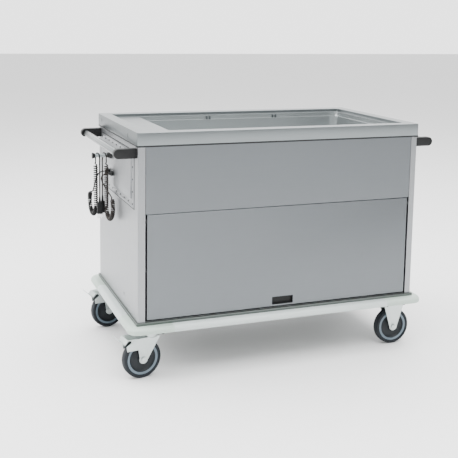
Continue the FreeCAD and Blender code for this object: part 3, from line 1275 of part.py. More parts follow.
def tube_ratio(tube, edges, wire):
    """Volume of a tube against its section times its length."""
    length = sum(edge.Length for edge in edges)
    return tube.Shape.Volume / (math.pi * wire ** 2 * length)


def run_edges(points):
    """Straight runs joined by arcs as large as the runs allow, and the arcs' radii."""
    edges, radii = [], []
    start = points[0]
    for before, corner, after in zip(points, points[1:], points[2:]):
        back, ahead = before - corner, after - corner
        trim = 0.45 * min(back.Length, ahead.Length)
        back.normalize()
        ahead.normalize()
        half_turn = (math.pi - back.getAngle(ahead)) / 2
        bend = trim / math.tan(half_turn)
        first, last = corner + back * trim, corner + ahead * trim
        middle = corner + (back + ahead).normalize() * (bend / math.cos(half_turn) - bend)
        edges += [Part.LineSegment(start, first).toShape(),
                  Part.Arc(first, middle, last).toShape()]
        radii.append(bend)
        start = last
    edges.append(Part.LineSegment(start, points[-1]).toShape())
    return edges, radii


def make_plug(name, x, y, top):
    """Slim three-pin plug that hangs at the end of a lead, with a bend guard above it."""
    body = doc.addObject("Part::Box", f"plug_case_{name}")
    body.setExpression("Length", bound("plug_width"))
    body.setExpression("Width", bound("plug_thickness"))
    body.setExpression("Height", bound("plug_length"))
    body.Placement.Base = Vector(x - number("plug_width / 2"), y - number("plug_thickness / 2"),
                                 top - number("plug_length"))
    neck = doc.addObject("Part::Cone", f"plug_neck_{name}")
    neck.setExpression("Radius1", bound("plug_thickness * 0.35"))
    neck.setExpression("Radius2", bound("lead_radius + 1"))
    neck.setExpression("Height", bound("plug_neck"))
    neck.Placement.Base = Vector(x, y, top)
    bore = doc.addObject("Part::Cylinder", f"plug_bore_{name}")
    bore.setExpression("Radius", bound("lead_radius + bearing_gap"))
    bore.setExpression("Height", bound("plug_neck + 1"))
    bore.Placement.Base = Vector(x, y, top)
    pins = []
    for index in (-1, 0, 1):
        pin = doc.addObject("Part::Cylinder", f"plug_pin_{name}_{index + 2}")
        pin.setExpression("Radius", bound("pin_radius"))
        pin.setExpression("Height", bound("pin_length"))
        pin.Placement.Base = Vector(x + index * number("plug_width / 3"), y,
                                    top - number("plug_length + pin_length"))
        pins.append(pin)
    node(f"plug_{name}", cut(f"plug_bored_{name}",
                             join(f"plug_{name}_body", body, neck, *pins), bore))


def make_leads():
    """The two leads that hang on the hook, and their plugs."""
    make_lead("rear", 1, number("outer_lead_reach"), number("rear_gland_y"))
    make_lead("front", -1, number("inner_lead_reach"), number("front_gland_y"))


# ------------------------------------------------------------ build and write


def check_and_write():
    """Stop on any failed object or bad shape, then write one file per node."""
    doc.recompute()
    for item in doc.Objects:
        if "Invalid" in item.State or "Error" in item.State:
            raise RuntimeError(f"{item.Name} failed: {item.State}")
    for name, piece in nodes.items():
        shape = piece.Shape
        if shape.isNull() or not shape.isValid() or not shape.Solids:
            raise RuntimeError(f"{name} has a bad shape")
    os.makedirs("parts", exist_ok=True)
    for name, piece in nodes.items():
        piece.Shape.exportStep(f"parts/{name}.step")
    print(f"{len(nodes)} nodes, {sum(len(p.Shape.Solids) for p in nodes.values())} solids")


make_worktop()
make_well()
make_divider_clips()
make_cabinet_panels()
make_cupboard()
make_door()
make_base()
make_castors()
make_handles()
make_service_cover()
make_heating()
make_controls()
make_drain()
make_leads()
check_and_write()
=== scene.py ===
"""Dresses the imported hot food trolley: finishes, rounded sheet edges, castors, leads and stage.

The trolley stands on the floor at the origin, its length along X, its door towards -Y.
"""

import json
import math

import bpy
from bpy.props import FloatProperty, FloatVectorProperty, IntProperty, PointerProperty
from mathutils import Matrix, Vector


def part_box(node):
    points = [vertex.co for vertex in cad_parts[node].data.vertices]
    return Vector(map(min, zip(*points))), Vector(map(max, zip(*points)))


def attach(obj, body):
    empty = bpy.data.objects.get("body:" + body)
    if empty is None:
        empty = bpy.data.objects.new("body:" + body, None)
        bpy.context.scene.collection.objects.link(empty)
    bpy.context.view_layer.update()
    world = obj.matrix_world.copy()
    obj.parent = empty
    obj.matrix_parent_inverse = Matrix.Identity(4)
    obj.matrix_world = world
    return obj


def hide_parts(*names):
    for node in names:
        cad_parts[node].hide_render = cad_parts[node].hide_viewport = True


bl_info = {
    "name": "Hot Food Trolley",
    "version": (1, 0, 0),
    "blender": (4, 5, 0),
    "location": "View3D > Sidebar > Trolley",
    "description": "Dresses a stainless steel hot food trolley and sets up its stage",
    "category": "Object",
}

MM = 0.001
SWIVEL_REST = math.radians(10)  # turn of the swivel castors at rest
SOFT_ANGLE = math.radians(32)  # turned pieces are smooth below this angle
FLAT_ANGLE = math.radians(0.4)  # faces this close to one plane become one face

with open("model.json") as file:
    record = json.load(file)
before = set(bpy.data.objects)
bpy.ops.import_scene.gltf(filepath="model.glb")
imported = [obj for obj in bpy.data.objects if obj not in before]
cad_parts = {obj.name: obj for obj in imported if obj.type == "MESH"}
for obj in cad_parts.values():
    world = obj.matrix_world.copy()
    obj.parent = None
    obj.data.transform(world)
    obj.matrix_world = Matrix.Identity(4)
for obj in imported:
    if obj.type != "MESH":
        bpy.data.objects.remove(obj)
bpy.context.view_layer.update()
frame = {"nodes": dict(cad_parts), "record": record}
NODES = frame["nodes"]
BODIES = frame["record"]["behaviour"]["bodies"]
BODY_OF = {node: body for body, members in BODIES.items() for node in members}


# ------------------------------------------------------------------- settings


def colour(label, value, note):
    """Colour setting with its default."""
    return FloatVectorProperty(
        name=label, description=note, default=value, subtype="COLOR", size=3, min=0, max=1)


def length(label, value, note):
    """Length setting with its default, in metres."""
    return FloatProperty(name=label, description=note, default=value, min=0, unit="LENGTH")


class TrolleyFinishes(bpy.types.PropertyGroup):
    """Colours of the trolley's materials."""

    # Top steel is kept darker than the side steel as painted shade, for the shaded front apron of
    # the worktop.
    top_steel: colour("Top steel", (0.185, 0.203, 0.208), "Bright pressed worktop")
    # Painted light: the side panels and cover take a lighter copy of the same steel, for the left
    # side that faces the key light.
    side_steel_painted_light: colour("Side steel painted light", (0.29, 0.30, 0.31), "Side panels and cover")
    # Painted shade: the door and fascia take a darker copy of the same steel, for the front faces
    # turned away from the light.
    front_steel_painted_shade: colour("Front steel painted shade", (0.165, 0.178, 0.188), "Door and front fascia")
    well_steel: colour("Well steel", (0.44, 0.465, 0.47), "Drawn water well")
    inner_steel: colour("Inner steel", (0.55, 0.57, 0.58), "Cupboard lining")
    zinc: colour("Zinc", (0.52, 0.565, 0.555), "Castor forks and plates")
    # Painted shade: the base plate's edge takes a near-black copy of the steel, for the shadow
    # above the bumper.
    base_steel_painted_shade: colour("Base steel painted shade", (0.13, 0.145, 0.138), "Edge of the base plate")
    bumper_rail: colour("Bumper rail", (0.5, 0.555, 0.545), "Straight buffer strips")
    bumper_corner: colour("Bumper corner", (0.42, 0.5, 0.45), "Moulded buffer corners")
    black: colour("Black plastic", (0.004, 0.0045, 0.005), "Brackets, cones and knobs")
    tyre: colour("Tyre", (0.007, 0.010, 0.014), "Dark tread rubber")
    wheel_ring: colour("Wheel ring", (0.11, 0.15, 0.185), "Light ring beside the tyre")
    hub: colour("Hub", (0.010, 0.013, 0.016), "Wheel centre")
    rear_lead: colour("Rear lead", (0.003, 0.003, 0.0035), "Outer curly lead")
    front_lead: colour("Front lead", (0.022, 0.018, 0.016), "Inner curly lead")


class TrolleyLeads(bpy.types.PropertyGroup):
    """Sizes of the two curly leads and the hook that they hang on."""

    sheath_radius: length("Sheath radius", 0.00275, "Half the thickness of the lead")
    curl_radius: length("Curl radius", 0.00725, "Radius of each curl's middle line")
    curls: IntProperty(name="Curls", description="Curls in each lead", default=46, min=2)
    loop_radius: length("Loop radius", 0.048, "Radius of the loop at the bottom")
    loop_sweep: FloatProperty(name="Loop sweep", description="Turn of the loop",
                              default=math.radians(260), subtype="ANGLE")
    coil_drop: length("Coil drop", 0.198, "Straight part of the coil")
    lean: length("Lean", 0.008, "How far the loop leans sideways")
    strand_shift: length("Strand shift", 0.012, "Sideways step of the lead over the hook")
    hook_radius: length("Hook radius", 0.0075, "Radius of the hook's bar")
    plug_drop: length("Plug drop", 0.200, "From the hook's middle to the plug's case")
    plug_width: length("Plug width", 0.024, "Width of the plug's case")
    plug_thickness: length("Plug thickness", 0.016, "Thickness of the plug's case")
    plug_length: length("Plug length", 0.050, "Length of the plug's case")
    plug_neck: length("Plug neck", 0.024, "Length of the bend guard above the case")
    pin_length: length("Pin length", 0.019, "Length of the plug's pins")


class TrolleyStage(bpy.types.PropertyGroup):
    """Floor, lights and camera."""

    floor: colour("Floor", (0.86, 0.86, 0.86), "Plain pale floor")
    sky_back: FloatProperty(name="Sky behind", description="Light from behind the trolley",
                            default=2.8, min=0)
    sky_front: FloatProperty(name="Sky in front", description="Light from the door's side",
                             default=0.4, min=0)
    key: FloatProperty(name="Key light", description="Power of the light on the left",
                       default=160, min=0, unit="POWER")
    overhead: FloatProperty(name="Overhead light", description="Power of the light above",
                            default=800, min=0, unit="POWER")
    front: FloatProperty(name="Front light", description="Power of the high light in front",
                         default=300, min=0, unit="POWER")
    lens: FloatProperty(name="Lens", description="Focal length in millimetres", default=66.59,
                        min=1)


# ------------------------------------------------------------- mesh utilities


def clear_selection():
    """Leave edit mode and select nothing."""
    if bpy.context.object is not None and bpy.context.object.mode != "OBJECT":
        bpy.ops.object.mode_set(mode="OBJECT")
    bpy.ops.object.select_all(action="DESELECT")


def pick(piece):
    """Make one piece the only selected and active object."""
    clear_selection()
    piece.select_set(True)
    bpy.context.view_layer.objects.active = piece


def apply_place(piece):
    """Move a piece's place, turn and size into its mesh."""
    pick(piece)
    bpy.ops.object.transform_apply(location=True, rotation=True, scale=True)


def add_modifier(piece, kind, **values):
    """Add a modifier with its values and apply it."""
    pick(piece)
    modifier = piece.modifiers.new(kind.title(), kind)
    for name, value in values.items():
        setattr(modifier, name, value)
    bpy.ops.object.modifier_apply(modifier=modifier.name)


def bevel(piece, width, segments=2, angle=35):
    """Round a piece's sharp edges and keep its flat faces flat."""
    pick(piece)
    bpy.ops.object.shade_smooth()
    add_modifier(piece, "BEVEL", width=width, segments=segments, limit_method="ANGLE",
                 angle_limit=math.radians(angle), harden_normals=True)


def finish(piece, name, material):
    """Name a piece and give it one material."""
    piece.name = name
    piece.data.name = name
    piece.data.materials.clear()
    piece.data.materials.append(material)
    return piece


def show(piece, *nodes, body=None):
    """Let a finished piece stand for CAD nodes, or just ride on a body."""
    if nodes:
        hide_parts(*nodes)
        body = BODY_OF[nodes[0]]
    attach(piece, body)
    return piece


def dressed(node, material, edge=0.0, segments=2, angle=30, welded=False):
    """Merged copy of a CAD node with soft edges, shown in its place.

    A welded node's solids become one skin, with no faces left inside it.
    """
    piece = bpy.data.objects.new(node, NODES[node].data.copy())
    bpy.context.scene.collection.objects.link(piece)
    pick(piece)
    bpy.ops.object.mode_set(mode="EDIT")
    bpy.ops.mesh.select_all(action="SELECT")
    bpy.ops.mesh.remove_doubles(threshold=0.00001)
    if welded:
        bpy.ops.mesh.select_all(action="DESELECT")
        bpy.ops.mesh.select_interior_faces()
        bpy.ops.mesh.delete(type="FACE")
        bpy.ops.mesh.select_all(action="SELECT")
    bpy.ops.mesh.dissolve_limited(angle_limit=FLAT_ANGLE)
    bpy.ops.object.mode_set(mode="OBJECT")
    finish(piece, node + "_dressed", material)
    if edge:
        bevel(piece, edge, segments, angle)
    else:
        bpy.ops.object.shade_smooth_by_angle(angle=math.radians(angle))
    if welded:
        add_modifier(piece, "WEIGHTED_NORMAL", keep_sharp=True)
    return show(piece, node)


def turned(name, profile, material, centre, turn=Matrix(), sides=96, ring=True):
    """Ring or solid built loop by loop from (height, radius) points about its own Z."""
    clear_selection()
    height, radius = profile[0]
    bpy.ops.mesh.primitive_circle_add(vertices=sides, radius=radius, fill_type="NOTHING",
                                      location=(0, 0, height))
    piece = bpy.context.object
    bpy.ops.object.mode_set(mode="EDIT")
    bpy.ops.mesh.select_mode(type="EDGE")
    bpy.ops.mesh.select_all(action="SELECT")
    for (low, before), (high, after) in zip(profile, profile[1:]):
        bpy.ops.mesh.extrude_edges_move(TRANSFORM_OT_translate={"value": (0, 0, high - low)})
        grow = after / before
        bpy.ops.transform.resize(value=(grow, grow, 1), center_override=(0, 0, high))
    bpy.ops.mesh.select_all(action="DESELECT")
    bpy.ops.mesh.select_non_manifold()
    if ring:
        bpy.ops.mesh.bridge_edge_loops()
    else:
        bpy.ops.mesh.fill_holes(sides=0)
    bpy.ops.mesh.select_all(action="SELECT")
    bpy.ops.mesh.normals_make_consistent(inside=False)
    bpy.ops.object.mode_set(mode="OBJECT")
    apply_place(piece)
    piece.matrix_world = Matrix.Translation(centre) @ turn
    apply_place(piece)
    bpy.ops.object.shade_smooth_by_angle(angle=SOFT_ANGLE)
    return finish(piece, name, material)


def rounded_block(name, centre, size, edge, material, segments=3):
    """Block with rounded edges."""
    clear_selection()
    bpy.ops.mesh.primitive_cube_add(size=1, location=centre, scale=size)
    piece = bpy.context.object
    apply_place(piece)
    bevel(piece, edge, segments)
    return finish(piece, name, material)


def joined(name, *pieces):
    """One mesh from several."""
    pick(pieces[0])
    for piece in pieces:
        piece.select_set(True)
    bpy.ops.object.join()
    pieces[0].name = name
    pieces[0].data.name = name
    return pieces[0]


def point_line(name, points, radius, material, rings=2, detail=2):
    """Round cord along one smooth curve through its guide points."""
    curve = bpy.data.curves.new(name, "CURVE")
    curve.dimensions = "3D"
    curve.bevel_depth = radius
    curve.bevel_resolution = rings
    curve.use_fill_caps = True
    line = curve.splines.new("NURBS")
    line.points.add(len(points) - 1)
    for spot, point in zip(line.points, points):
        spot.co = (*point, 1)
    line.order_u = 3
    line.use_endpoint_u = True
    line.resolution_u = detail
    curve.materials.append(material)
    piece = bpy.data.objects.new(name, curve)
    bpy.context.scene.collection.objects.link(piece)
    return piece


# ------------------------------------------------------------------ materials


def new_group(name, inputs, outputs):
    """Empty shader group with named sockets, and its two end nodes."""
    tree = bpy.data.node_groups.new(name, "ShaderNodeTree")
    for label, kind, value in inputs:
        socket = tree.interface.new_socket(label, in_out="INPUT", socket_type=kind)
        socket.default_value = value
    for label, kind in outputs:
        tree.interface.new_socket(label, in_out="OUTPUT", socket_type=kind)
    return tree, tree.nodes.new("NodeGroupInput"), tree.nodes.new("NodeGroupOutput")


def add_node(tree, kind, links=None, **values):
    """Node with values set on it, and its inputs linked or set by name or number."""
    made = tree.nodes.new(kind)
    for name, value in values.items():
        setattr(made, name, value)
    for socket, source in (links or {}).items():
        if isinstance(source, bpy.types.NodeSocket):
            tree.links.new(source, made.inputs[socket])
        else:
            made.inputs[socket].default_value = source
    return made


def ramp(tree, source, low, high):
    """Map a value from 0..1 to another range."""
    links = {"Value": source, "To Min": low, "To Max": high}
    return add_node(tree, "ShaderNodeMapRange", links).outputs["Result"]


def math_node(tree, operation, first, second):
    """Result of a sum, product or other operation on two values."""
    made = add_node(tree, "ShaderNodeMath", {0: first, 1: second}, operation=operation)
    return made.outputs[0]


def shade_around(tree, base, value, spread):
    """Base colour made lighter and darker round itself by a value from 0 to 1."""
    low = math_node(tree, "SUBTRACT", 1.0, spread)
    high = math_node(tree, "ADD", 1.0, spread)
    factor = ramp(tree, value, low, high)
    shaded = add_node(tree, "ShaderNodeHueSaturation", {"Color": base, "Value": factor})
    return shaded.outputs["Color"]


def make_grain_group():
    """Brushed metal: long fine streaks, faint clouds and a little wear."""
    tree, start, end = new_group(
        "Brushed grain",
        [("Base Color", "NodeSocketColor", (0.6, 0.6, 0.6, 1)),
         ("Streaks", "NodeSocketVector", (4, 900, 900)),
         ("Contrast", "NodeSocketFloat", 0.08), ("Roughness", "NodeSocketFloat", 0.3),
         ("Depth", "NodeSocketFloat", 0.1)],
        [("Color", "NodeSocketColor"), ("Roughness", "NodeSocketFloat"),
         ("Normal", "NodeSocketVector")])
    place = add_node(tree, "ShaderNodeTexCoord").outputs["Object"]
    stretched = add_node(tree, "ShaderNodeMapping",
                         {"Vector": place, "Scale": start.outputs["Streaks"]})
    streaks = add_node(tree, "ShaderNodeTexNoise",
                       {"Vector": stretched.outputs[0], "Scale": 1.0, "Detail": 5.0})
    clouds = add_node(tree, "ShaderNodeTexNoise", {"Vector": place, "Scale": 3.5, "Detail": 3.0})
    smears = add_node(tree, "ShaderNodeTexNoise",
                      {"Vector": place, "Scale": 26.0, "Detail": 6.0, "Roughness": 0.7})
    value = math_node(tree, "MULTIPLY", streaks.outputs[0], 0.6)
    value = math_node(tree, "ADD", value, math_node(tree, "MULTIPLY", clouds.outputs[0], 0.4))
    tree.links.new(shade_around(tree, start.outputs["Base Color"], value,
                                start.outputs["Contrast"]), end.inputs["Color"])
    spread = ramp(tree, smears.outputs[0], -0.05, 0.07)
    tree.links.new(math_node(tree, "ADD", start.outputs["Roughness"], spread),
                   end.inputs["Roughness"])
    bump = add_node(tree, "ShaderNodeBump", {"Height": streaks.outputs[0],
                    "Strength": start.outputs["Depth"], "Distance": 0.0003})
    tree.links.new(bump.outputs[0], end.inputs["Normal"])
    return tree


def make_moulded_group():
    """Moulded plastic or rubber: fine pebble, soft clouds and dull scuffs."""
    tree, start, end = new_group(
        "Moulded grain",
        [("Base Color", "NodeSocketColor", (0.1, 0.1, 0.1, 1)),
         ("Pebble", "NodeSocketFloat", 900.0), ("Contrast", "NodeSocketFloat", 0.12),
         ("Roughness", "NodeSocketFloat", 0.5), ("Depth", "NodeSocketFloat", 0.2)],
        [("Color", "NodeSocketColor"), ("Roughness", "NodeSocketFloat"),
         ("Normal", "NodeSocketVector")])
    place = add_node(tree, "ShaderNodeTexCoord").outputs["Object"]
    pebble = add_node(tree, "ShaderNodeTexNoise",
                      {"Vector": place, "Scale": start.outputs["Pebble"], "Detail": 2.0})
    clouds = add_node(tree, "ShaderNodeTexNoise", {"Vector": place, "Scale": 14.0, "Detail": 5.0})
    scuffs = add_node(tree, "ShaderNodeTexNoise",
                      {"Vector": place, "Scale": 70.0, "Detail": 8.0, "Roughness": 0.75})
    tree.links.new(shade_around(tree, start.outputs["Base Color"], clouds.outputs[0],
                                start.outputs["Contrast"]), end.inputs["Color"])
    spread = ramp(tree, scuffs.outputs[0], -0.1, 0.12)
    tree.links.new(math_node(tree, "ADD", start.outputs["Roughness"], spread),
                   end.inputs["Roughness"])
    bump = add_node(tree, "ShaderNodeBump", {"Height": pebble.outputs[0],
                    "Strength": start.outputs["Depth"], "Distance": 0.0002})
    tree.links.new(bump.outputs[0], end.inputs["Normal"])
    return tree


def material_from(name, group, base, values, plain=None):
    """Material whose Principled shader takes its colour, gloss and bump from a group."""
    made = bpy.data.materials.new(name)
    made.use_nodes = True
    tree = made.node_tree
    shader = tree.nodes["Principled BSDF"]
    grain = add_node(tree, "ShaderNodeGroup", node_tree=bpy.data.node_groups[group])
    grain.inputs["Base Color"].default_value = (*base, 1)
    for label, value in values.items():
        grain.inputs[label].default_value = value
    tree.links.new(grain.outputs["Color"], shader.inputs["Base Color"])
    tree.links.new(grain.outputs["Roughness"], shader.inputs["Roughness"])
    tree.links.new(grain.outputs["Normal"], shader.inputs["Normal"])
    for label, value in (plain or {}).items():
        shader.inputs[label].default_value = value
    made.diffuse_color = (*base, 1)
    return made


def steel(name, base, streaks=(3, 700, 700), roughness=0.3, contrast=0.07, depth=0.06):
    """Brushed steel with its streaks along the short side of the stretch."""
    values = {"Streaks": streaks, "Roughness": roughness, "Contrast": contrast, "Depth": depth}
    return material_from(name, "Brushed grain", base, values, {"Metallic": 1.0})


def plastic(name, base, roughness=0.45, pebble=900.0, depth=0.15, contrast=0.12, **plain):
    """Moulded plastic or rubber."""
    values = {"Pebble": pebble, "Roughness": roughness, "Contrast": contrast, "Depth": depth}
    return material_from(name, "Moulded grain", base, values,
                         {label.replace("_", " "): value for label, value in plain.items()})


def finish_named(name):
    """A material that the finishes operator made."""
    return bpy.data.materials[name]


class TROLLEY_OT_finishes(bpy.types.Operator):
    """Make the materials and lay them on the trolley's inner parts"""

    bl_idname = "trolley.finishes"
    bl_label = "Finishes"

    def execute(self, context):
        tint = context.scene.trolley_finishes
        make_grain_group()
        make_moulded_group()
        # Lit and shaded copies of one steel: side steel is painted light, front steel and top
        # steel are painted shade.
        steel("Top steel", tint.top_steel, (5, 600, 5), roughness=0.34, contrast=0.03, depth=0.02)
        steel("Side steel painted light", tint.side_steel_painted_light, (600, 3, 600), roughness=0.38, contrast=0.04,
              depth=0.03)
        steel("Front steel painted shade", tint.front_steel_painted_shade, (3, 600, 600), roughness=0.42, contrast=0.05,
              depth=0.03)
        steel("Well steel", tint.well_steel, (6, 200, 200), roughness=0.36, contrast=0.04,
              depth=0.01)
        # Base steel is painted shade: a near-black steel for the shadow along the base plate's
        # edge.
        steel("Base steel painted shade", tint.base_steel_painted_shade, (5, 400, 400), roughness=0.4)
        steel("Inner steel", tint.inner_steel, (4, 500, 500), roughness=0.36)
        steel("Frame steel", tint.inner_steel, (40, 40, 40), roughness=0.42)
        steel("Tube steel", tint.top_steel, (900, 4, 900), roughness=0.2, contrast=0.05)
        steel("Zinc plate", tint.zinc, (60, 60, 60), roughness=0.38, contrast=0.12, depth=0.1)
        steel("Screw steel", (0.035, 0.036, 0.038), (90, 90, 90), roughness=0.35)
        steel("Element sheath", (0.16, 0.13, 0.11), (30, 300, 300), roughness=0.45, contrast=0.3)
        steel("Valve chrome", (0.7, 0.7, 0.7), (50, 50, 50), roughness=0.12, contrast=0.03,
              depth=0.02)
        plastic("Bumper rail", tint.bumper_rail, roughness=0.42, pebble=300, depth=0.1,
                contrast=0.04)
        plastic("Bumper corner", tint.bumper_corner, roughness=0.45, pebble=300, depth=0.1,
                contrast=0.05)
        plastic("Black plastic", tint.black, roughness=0.5, Specular_IOR_Level=0.3)
        plastic("Grey plastic", (0.2, 0.2, 0.195), roughness=0.5)
        plastic("Hook grey", (0.30, 0.34, 0.35), roughness=0.35)
        plastic("Tyre rubber", tint.tyre, roughness=0.6, pebble=500, depth=0.25, contrast=0.2,
                Specular_IOR_Level=0.3)
        plastic("Wheel ring", tint.wheel_ring, roughness=0.4, pebble=500, depth=0.1,
                contrast=0.06)
        plastic("Hub plastic", tint.hub, roughness=0.5, Specular_IOR_Level=0.3)
        for name, tone in (("Rear", tint.rear_lead), ("Front", tint.front_lead)):
            plastic(f"{name} lead sheath", tone, roughness=0.5, pebble=1200,
                    Specular_IOR_Level=0.25)
        plastic("Lamp lens", (0.9, 0.28, 0.03), roughness=0.15, depth=0.02, Coat_Weight=0.6)
        plastic("Switch green", (0.02, 0.16, 0.05), roughness=0.3)
        plastic("Lever grip", (0.35, 0.02, 0.015), roughness=0.3)
        plastic("Dial marks", (0.75, 0.75, 0.72), roughness=0.5)
        # Painted shade: near-black paint for the beads and bows laid where shadow falls, under the
        # apron, round the service cover and beside two small fittings.
        plastic("Painted shade", (0.01, 0.011, 0.012), roughness=0.8)
        inner = {
            "Inner steel": ("cupboard_walls", "cupboard_ceiling", "cupboard_floor",
                            "cupboard_shelf", "shelf_brackets", "door_rails", "door_liner",
                            "door_hinges", "door_carriage"),
            "Frame steel": ("chassis_frame",), "Screw steel": ("caster_bolts",),
            "Element sheath": ("heating_elements",), "Grey plastic": ("switchgear",),
        }
        for name, members in inner.items():
            for node in members:
                NODES[node].data.materials.clear()
                NODES[node].data.materials.append(finish_named(name))
        return {"FINISHED"}


# -------------------------------------------------------------------- cabinet


# Places of the two painted-shade bows on the left side as (y, z), in metres.
RECESS_SHADE_SPOTS = ((0.27, 0.962), (-0.206, 0.957))
SIDE_PLUG_SPOT = (-0.12, 0.288)


class TROLLEY_OT_cabinet(bpy.types.Operator):
    """Dress the worktop, well, panels, door and service cover"""

    bl_idname = "trolley.cabinet"
    bl_label = "Cabinet"

    def execute(self, context):
        dressed("worktop", finish_named("Top steel"), 0.4 * MM)
        dressed("bain_marie_well", finish_named("Well steel"), welded=True)
        dressed("divider_clips", finish_named("Top steel"), 0.8 * MM)
        for node in ("side_panel_left", "side_panel_right"):
            dressed(node, finish_named("Side steel painted light"))
        dressed("back_panel", finish_named("Side steel painted light"))
        self.folded("front_fascia", False)
        self.folded("door_panel", True)
        dressed("door_pull", finish_named("Black plastic"), 0.8 * MM)
        dressed("base_plate", finish_named("Base steel painted shade"), 0.8 * MM)
        dressed("service_cover", finish_named("Side steel painted light"), 0.4 * MM)
        dressed("cover_screws", finish_named("Screw steel"))
        self.apron_recess_shades()
        self.side_plug()
        self.cover_seal()
        self.top_seal()
        return {"FINISHED"}

    def shade_bead(self, name, node, runs, edge):
        """Dark bead of painted shade on a node's body, of straight runs given as (centre, size).
        """
        beads = [rounded_block("seal_run", centre, size, edge, finish_named("Painted shade"), 2)
                 for centre, size in runs]
        show(joined(name, *beads), body=BODY_OF[node])

    def top_seal(self):
        """Dark bead between the worktop's apron and the panels under it: painted shadow of the
        apron's overhang.
        """
        left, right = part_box("side_panel_left")[0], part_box("side_panel_right")[1]
        middle = (left + right) / 2
        depth, height = 2.6 * MM, 6.5 * MM
        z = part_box("worktop")[0].z - height / 2
        long = (right.x - left.x + 2 * depth, depth, height)
        short = (depth, right.y - left.y, height)
        runs = [((middle.x, y, z), long) for y in (left.y - depth / 2, right.y + depth / 2)]
        runs += [((x, middle.y, z), short) for x in (left.x - depth / 2, right.x + depth / 2)]
        self.shade_bead("top_seal", "worktop", runs, 0.6 * MM)

    def folded(self, node, at_top):
        """Front sheet with a rounder fold along its top or bottom edge."""
        fold, small_edge, near = 2.4 * MM, 0.6 * MM, 0.2 * MM
        sheet = dressed(node, finish_named("Front steel painted shade"))
        low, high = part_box(node)
        level = high.z if at_top else low.z
        pick(sheet)
        bpy.ops.object.mode_set(mode="EDIT")
        bpy.ops.mesh.select_mode(type="EDGE")
        bpy.ops.mesh.select_all(action="DESELECT")
        bpy.ops.object.mode_set(mode="OBJECT")
        spots = [vertex.co for vertex in sheet.data.vertices]
        for edge in sheet.data.edges:
            edge.select = all(abs(spots[index].z - level) < near
                              and spots[index].y < low.y + near for index in edge.vertices)
        bpy.ops.object.mode_set(mode="EDIT")
        bpy.ops.mesh.bevel(offset=fold, segments=4)
        bpy.ops.object.mode_set(mode="OBJECT")
        bevel(sheet, small_edge, 2, 30)

    def cover_seal(self):
        """Dark bead round the service cover's flange: painted shade along the edges of the raised
        cover.
        """
        low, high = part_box("service_cover")
        middle = (low + high) / 2
        width, thickness = 4.0 * MM, 1.2 * MM
        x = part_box("side_panel_left")[0].x - thickness / 2
        across = (thickness, high.y - low.y + 2 * width, width)
        upright = (thickness, width, high.z - low.z)
        runs = [((x, middle.y, z), across) for z in (low.z - width / 2, high.z + width / 2)]
        runs += [((x, y, middle.z), upright) for y in (low.y - width / 2, high.y + width / 2)]
        self.shade_bead("cover_seal", "service_cover", runs, 0.4 * MM)

    def apron_recess_shades(self):
        """Two small dark bows in the left edge of the worktop: painted shade, the dark crescent at
        one side of two small round fittings.
        """
        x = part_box("worktop")[0].x - 0.1 * MM
        half_length, bow, radius, steps = 8.5 * MM, 3.0 * MM, 0.9 * MM, 8
        for number, (y, z) in enumerate(RECESS_SHADE_SPOTS, 1):
            guide = [(x, y + bow * math.sin(step / steps * math.pi),
                      z + half_length * (2 * step / steps - 1)) for step in range(steps + 1)]
            mark = point_line(f"apron_recess_shade_{number}", guide, radius, finish_named("Painted shade"),
                              rings=1, detail=3)
            pick(mark)
            bpy.ops.object.convert(target="MESH")
            show(bpy.context.object, body=BODY_OF["worktop"])

    def side_plug(self):
        """Small blanking plug low on the left panel."""
        profile = ((0.0, 6.2), (1.0, 6.2), (1.8, 5.0), (1.8, 3.2), (1.0, 2.6))
        place = (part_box("side_panel_left")[0].x, *SIDE_PLUG_SPOT)
        outward = Matrix.Rotation(math.radians(-90), 4, "Y")
        plug = turned("panel_blanking_plug",
                      [(height * MM, radius * MM) for height, radius in profile],
                      finish_named("Side steel painted light"), place, outward, 32, False)
        show(plug, body=BODY_OF["side_panel_left"])


# -------------------------------------------------------------------- chassis


class TROLLEY_OT_chassis(bpy.types.Operator):
    """Dress the bumper, castor plates, forks and pedals"""

    bl_idname = "trolley.chassis"
    bl_label = "Chassis"

    def execute(self, context):
        dressed("bumper_rails", finish_named("Bumper rail"), 0.6 * MM)
        dressed("bumper_corners", finish_named("Bumper corner"), 0.6 * MM)
        zinc = finish_named("Zinc plate")
        dressed("caster_plates", zinc, 0.5 * MM)
        dressed("rigid_forks", zinc, 0.7 * MM)
        for end in ("front", "rear"):
            dressed(f"swivel_fork_{end}", zinc, 0.7 * MM)
            dressed(f"brake_pedal_{end}", zinc, 0.8 * MM)
        return {"FINISHED"}


# Outlines of the turned pieces as (place along the axle, radius), in millimetres.
TYRE_PROFILE = ((-14, 65.2), (-15.6, 66.4), (-17, 69.2), (-17, 74.2), (-16.2, 76.6),
                (-14, 78.4), (-9, 79.7), (-3, 80), (3, 80), (9, 79.7), (14, 78.4),
                (16.2, 76.6), (17, 74.2), (17, 69.2), (15.6, 66.4), (14, 65.2))
HUB_PROFILE = ((-19.2, 6.1), (-19.2, 14), (-18, 15.2), (-10, 18.4), (-6.5, 20.3), (-5.2, 22.4),
               (-5.2, 47), (-6.6, 50.2), (-10.2, 53.4), (-13, 55.4), (-13.9, 57.5), (-14, 61),
               (-14, 65), (14, 65), (14, 61), (13.9, 57.5), (13, 55.4), (10.2, 53.4),
               (6.6, 50.2), (5.2, 47), (5.2, 22.4), (6.5, 20.3), (10, 18.4), (18, 15.2),
               (19.2, 14), (19.2, 6.1))
RING_INNER, RING_OUTER = 56.2 * MM, 64.8 * MM


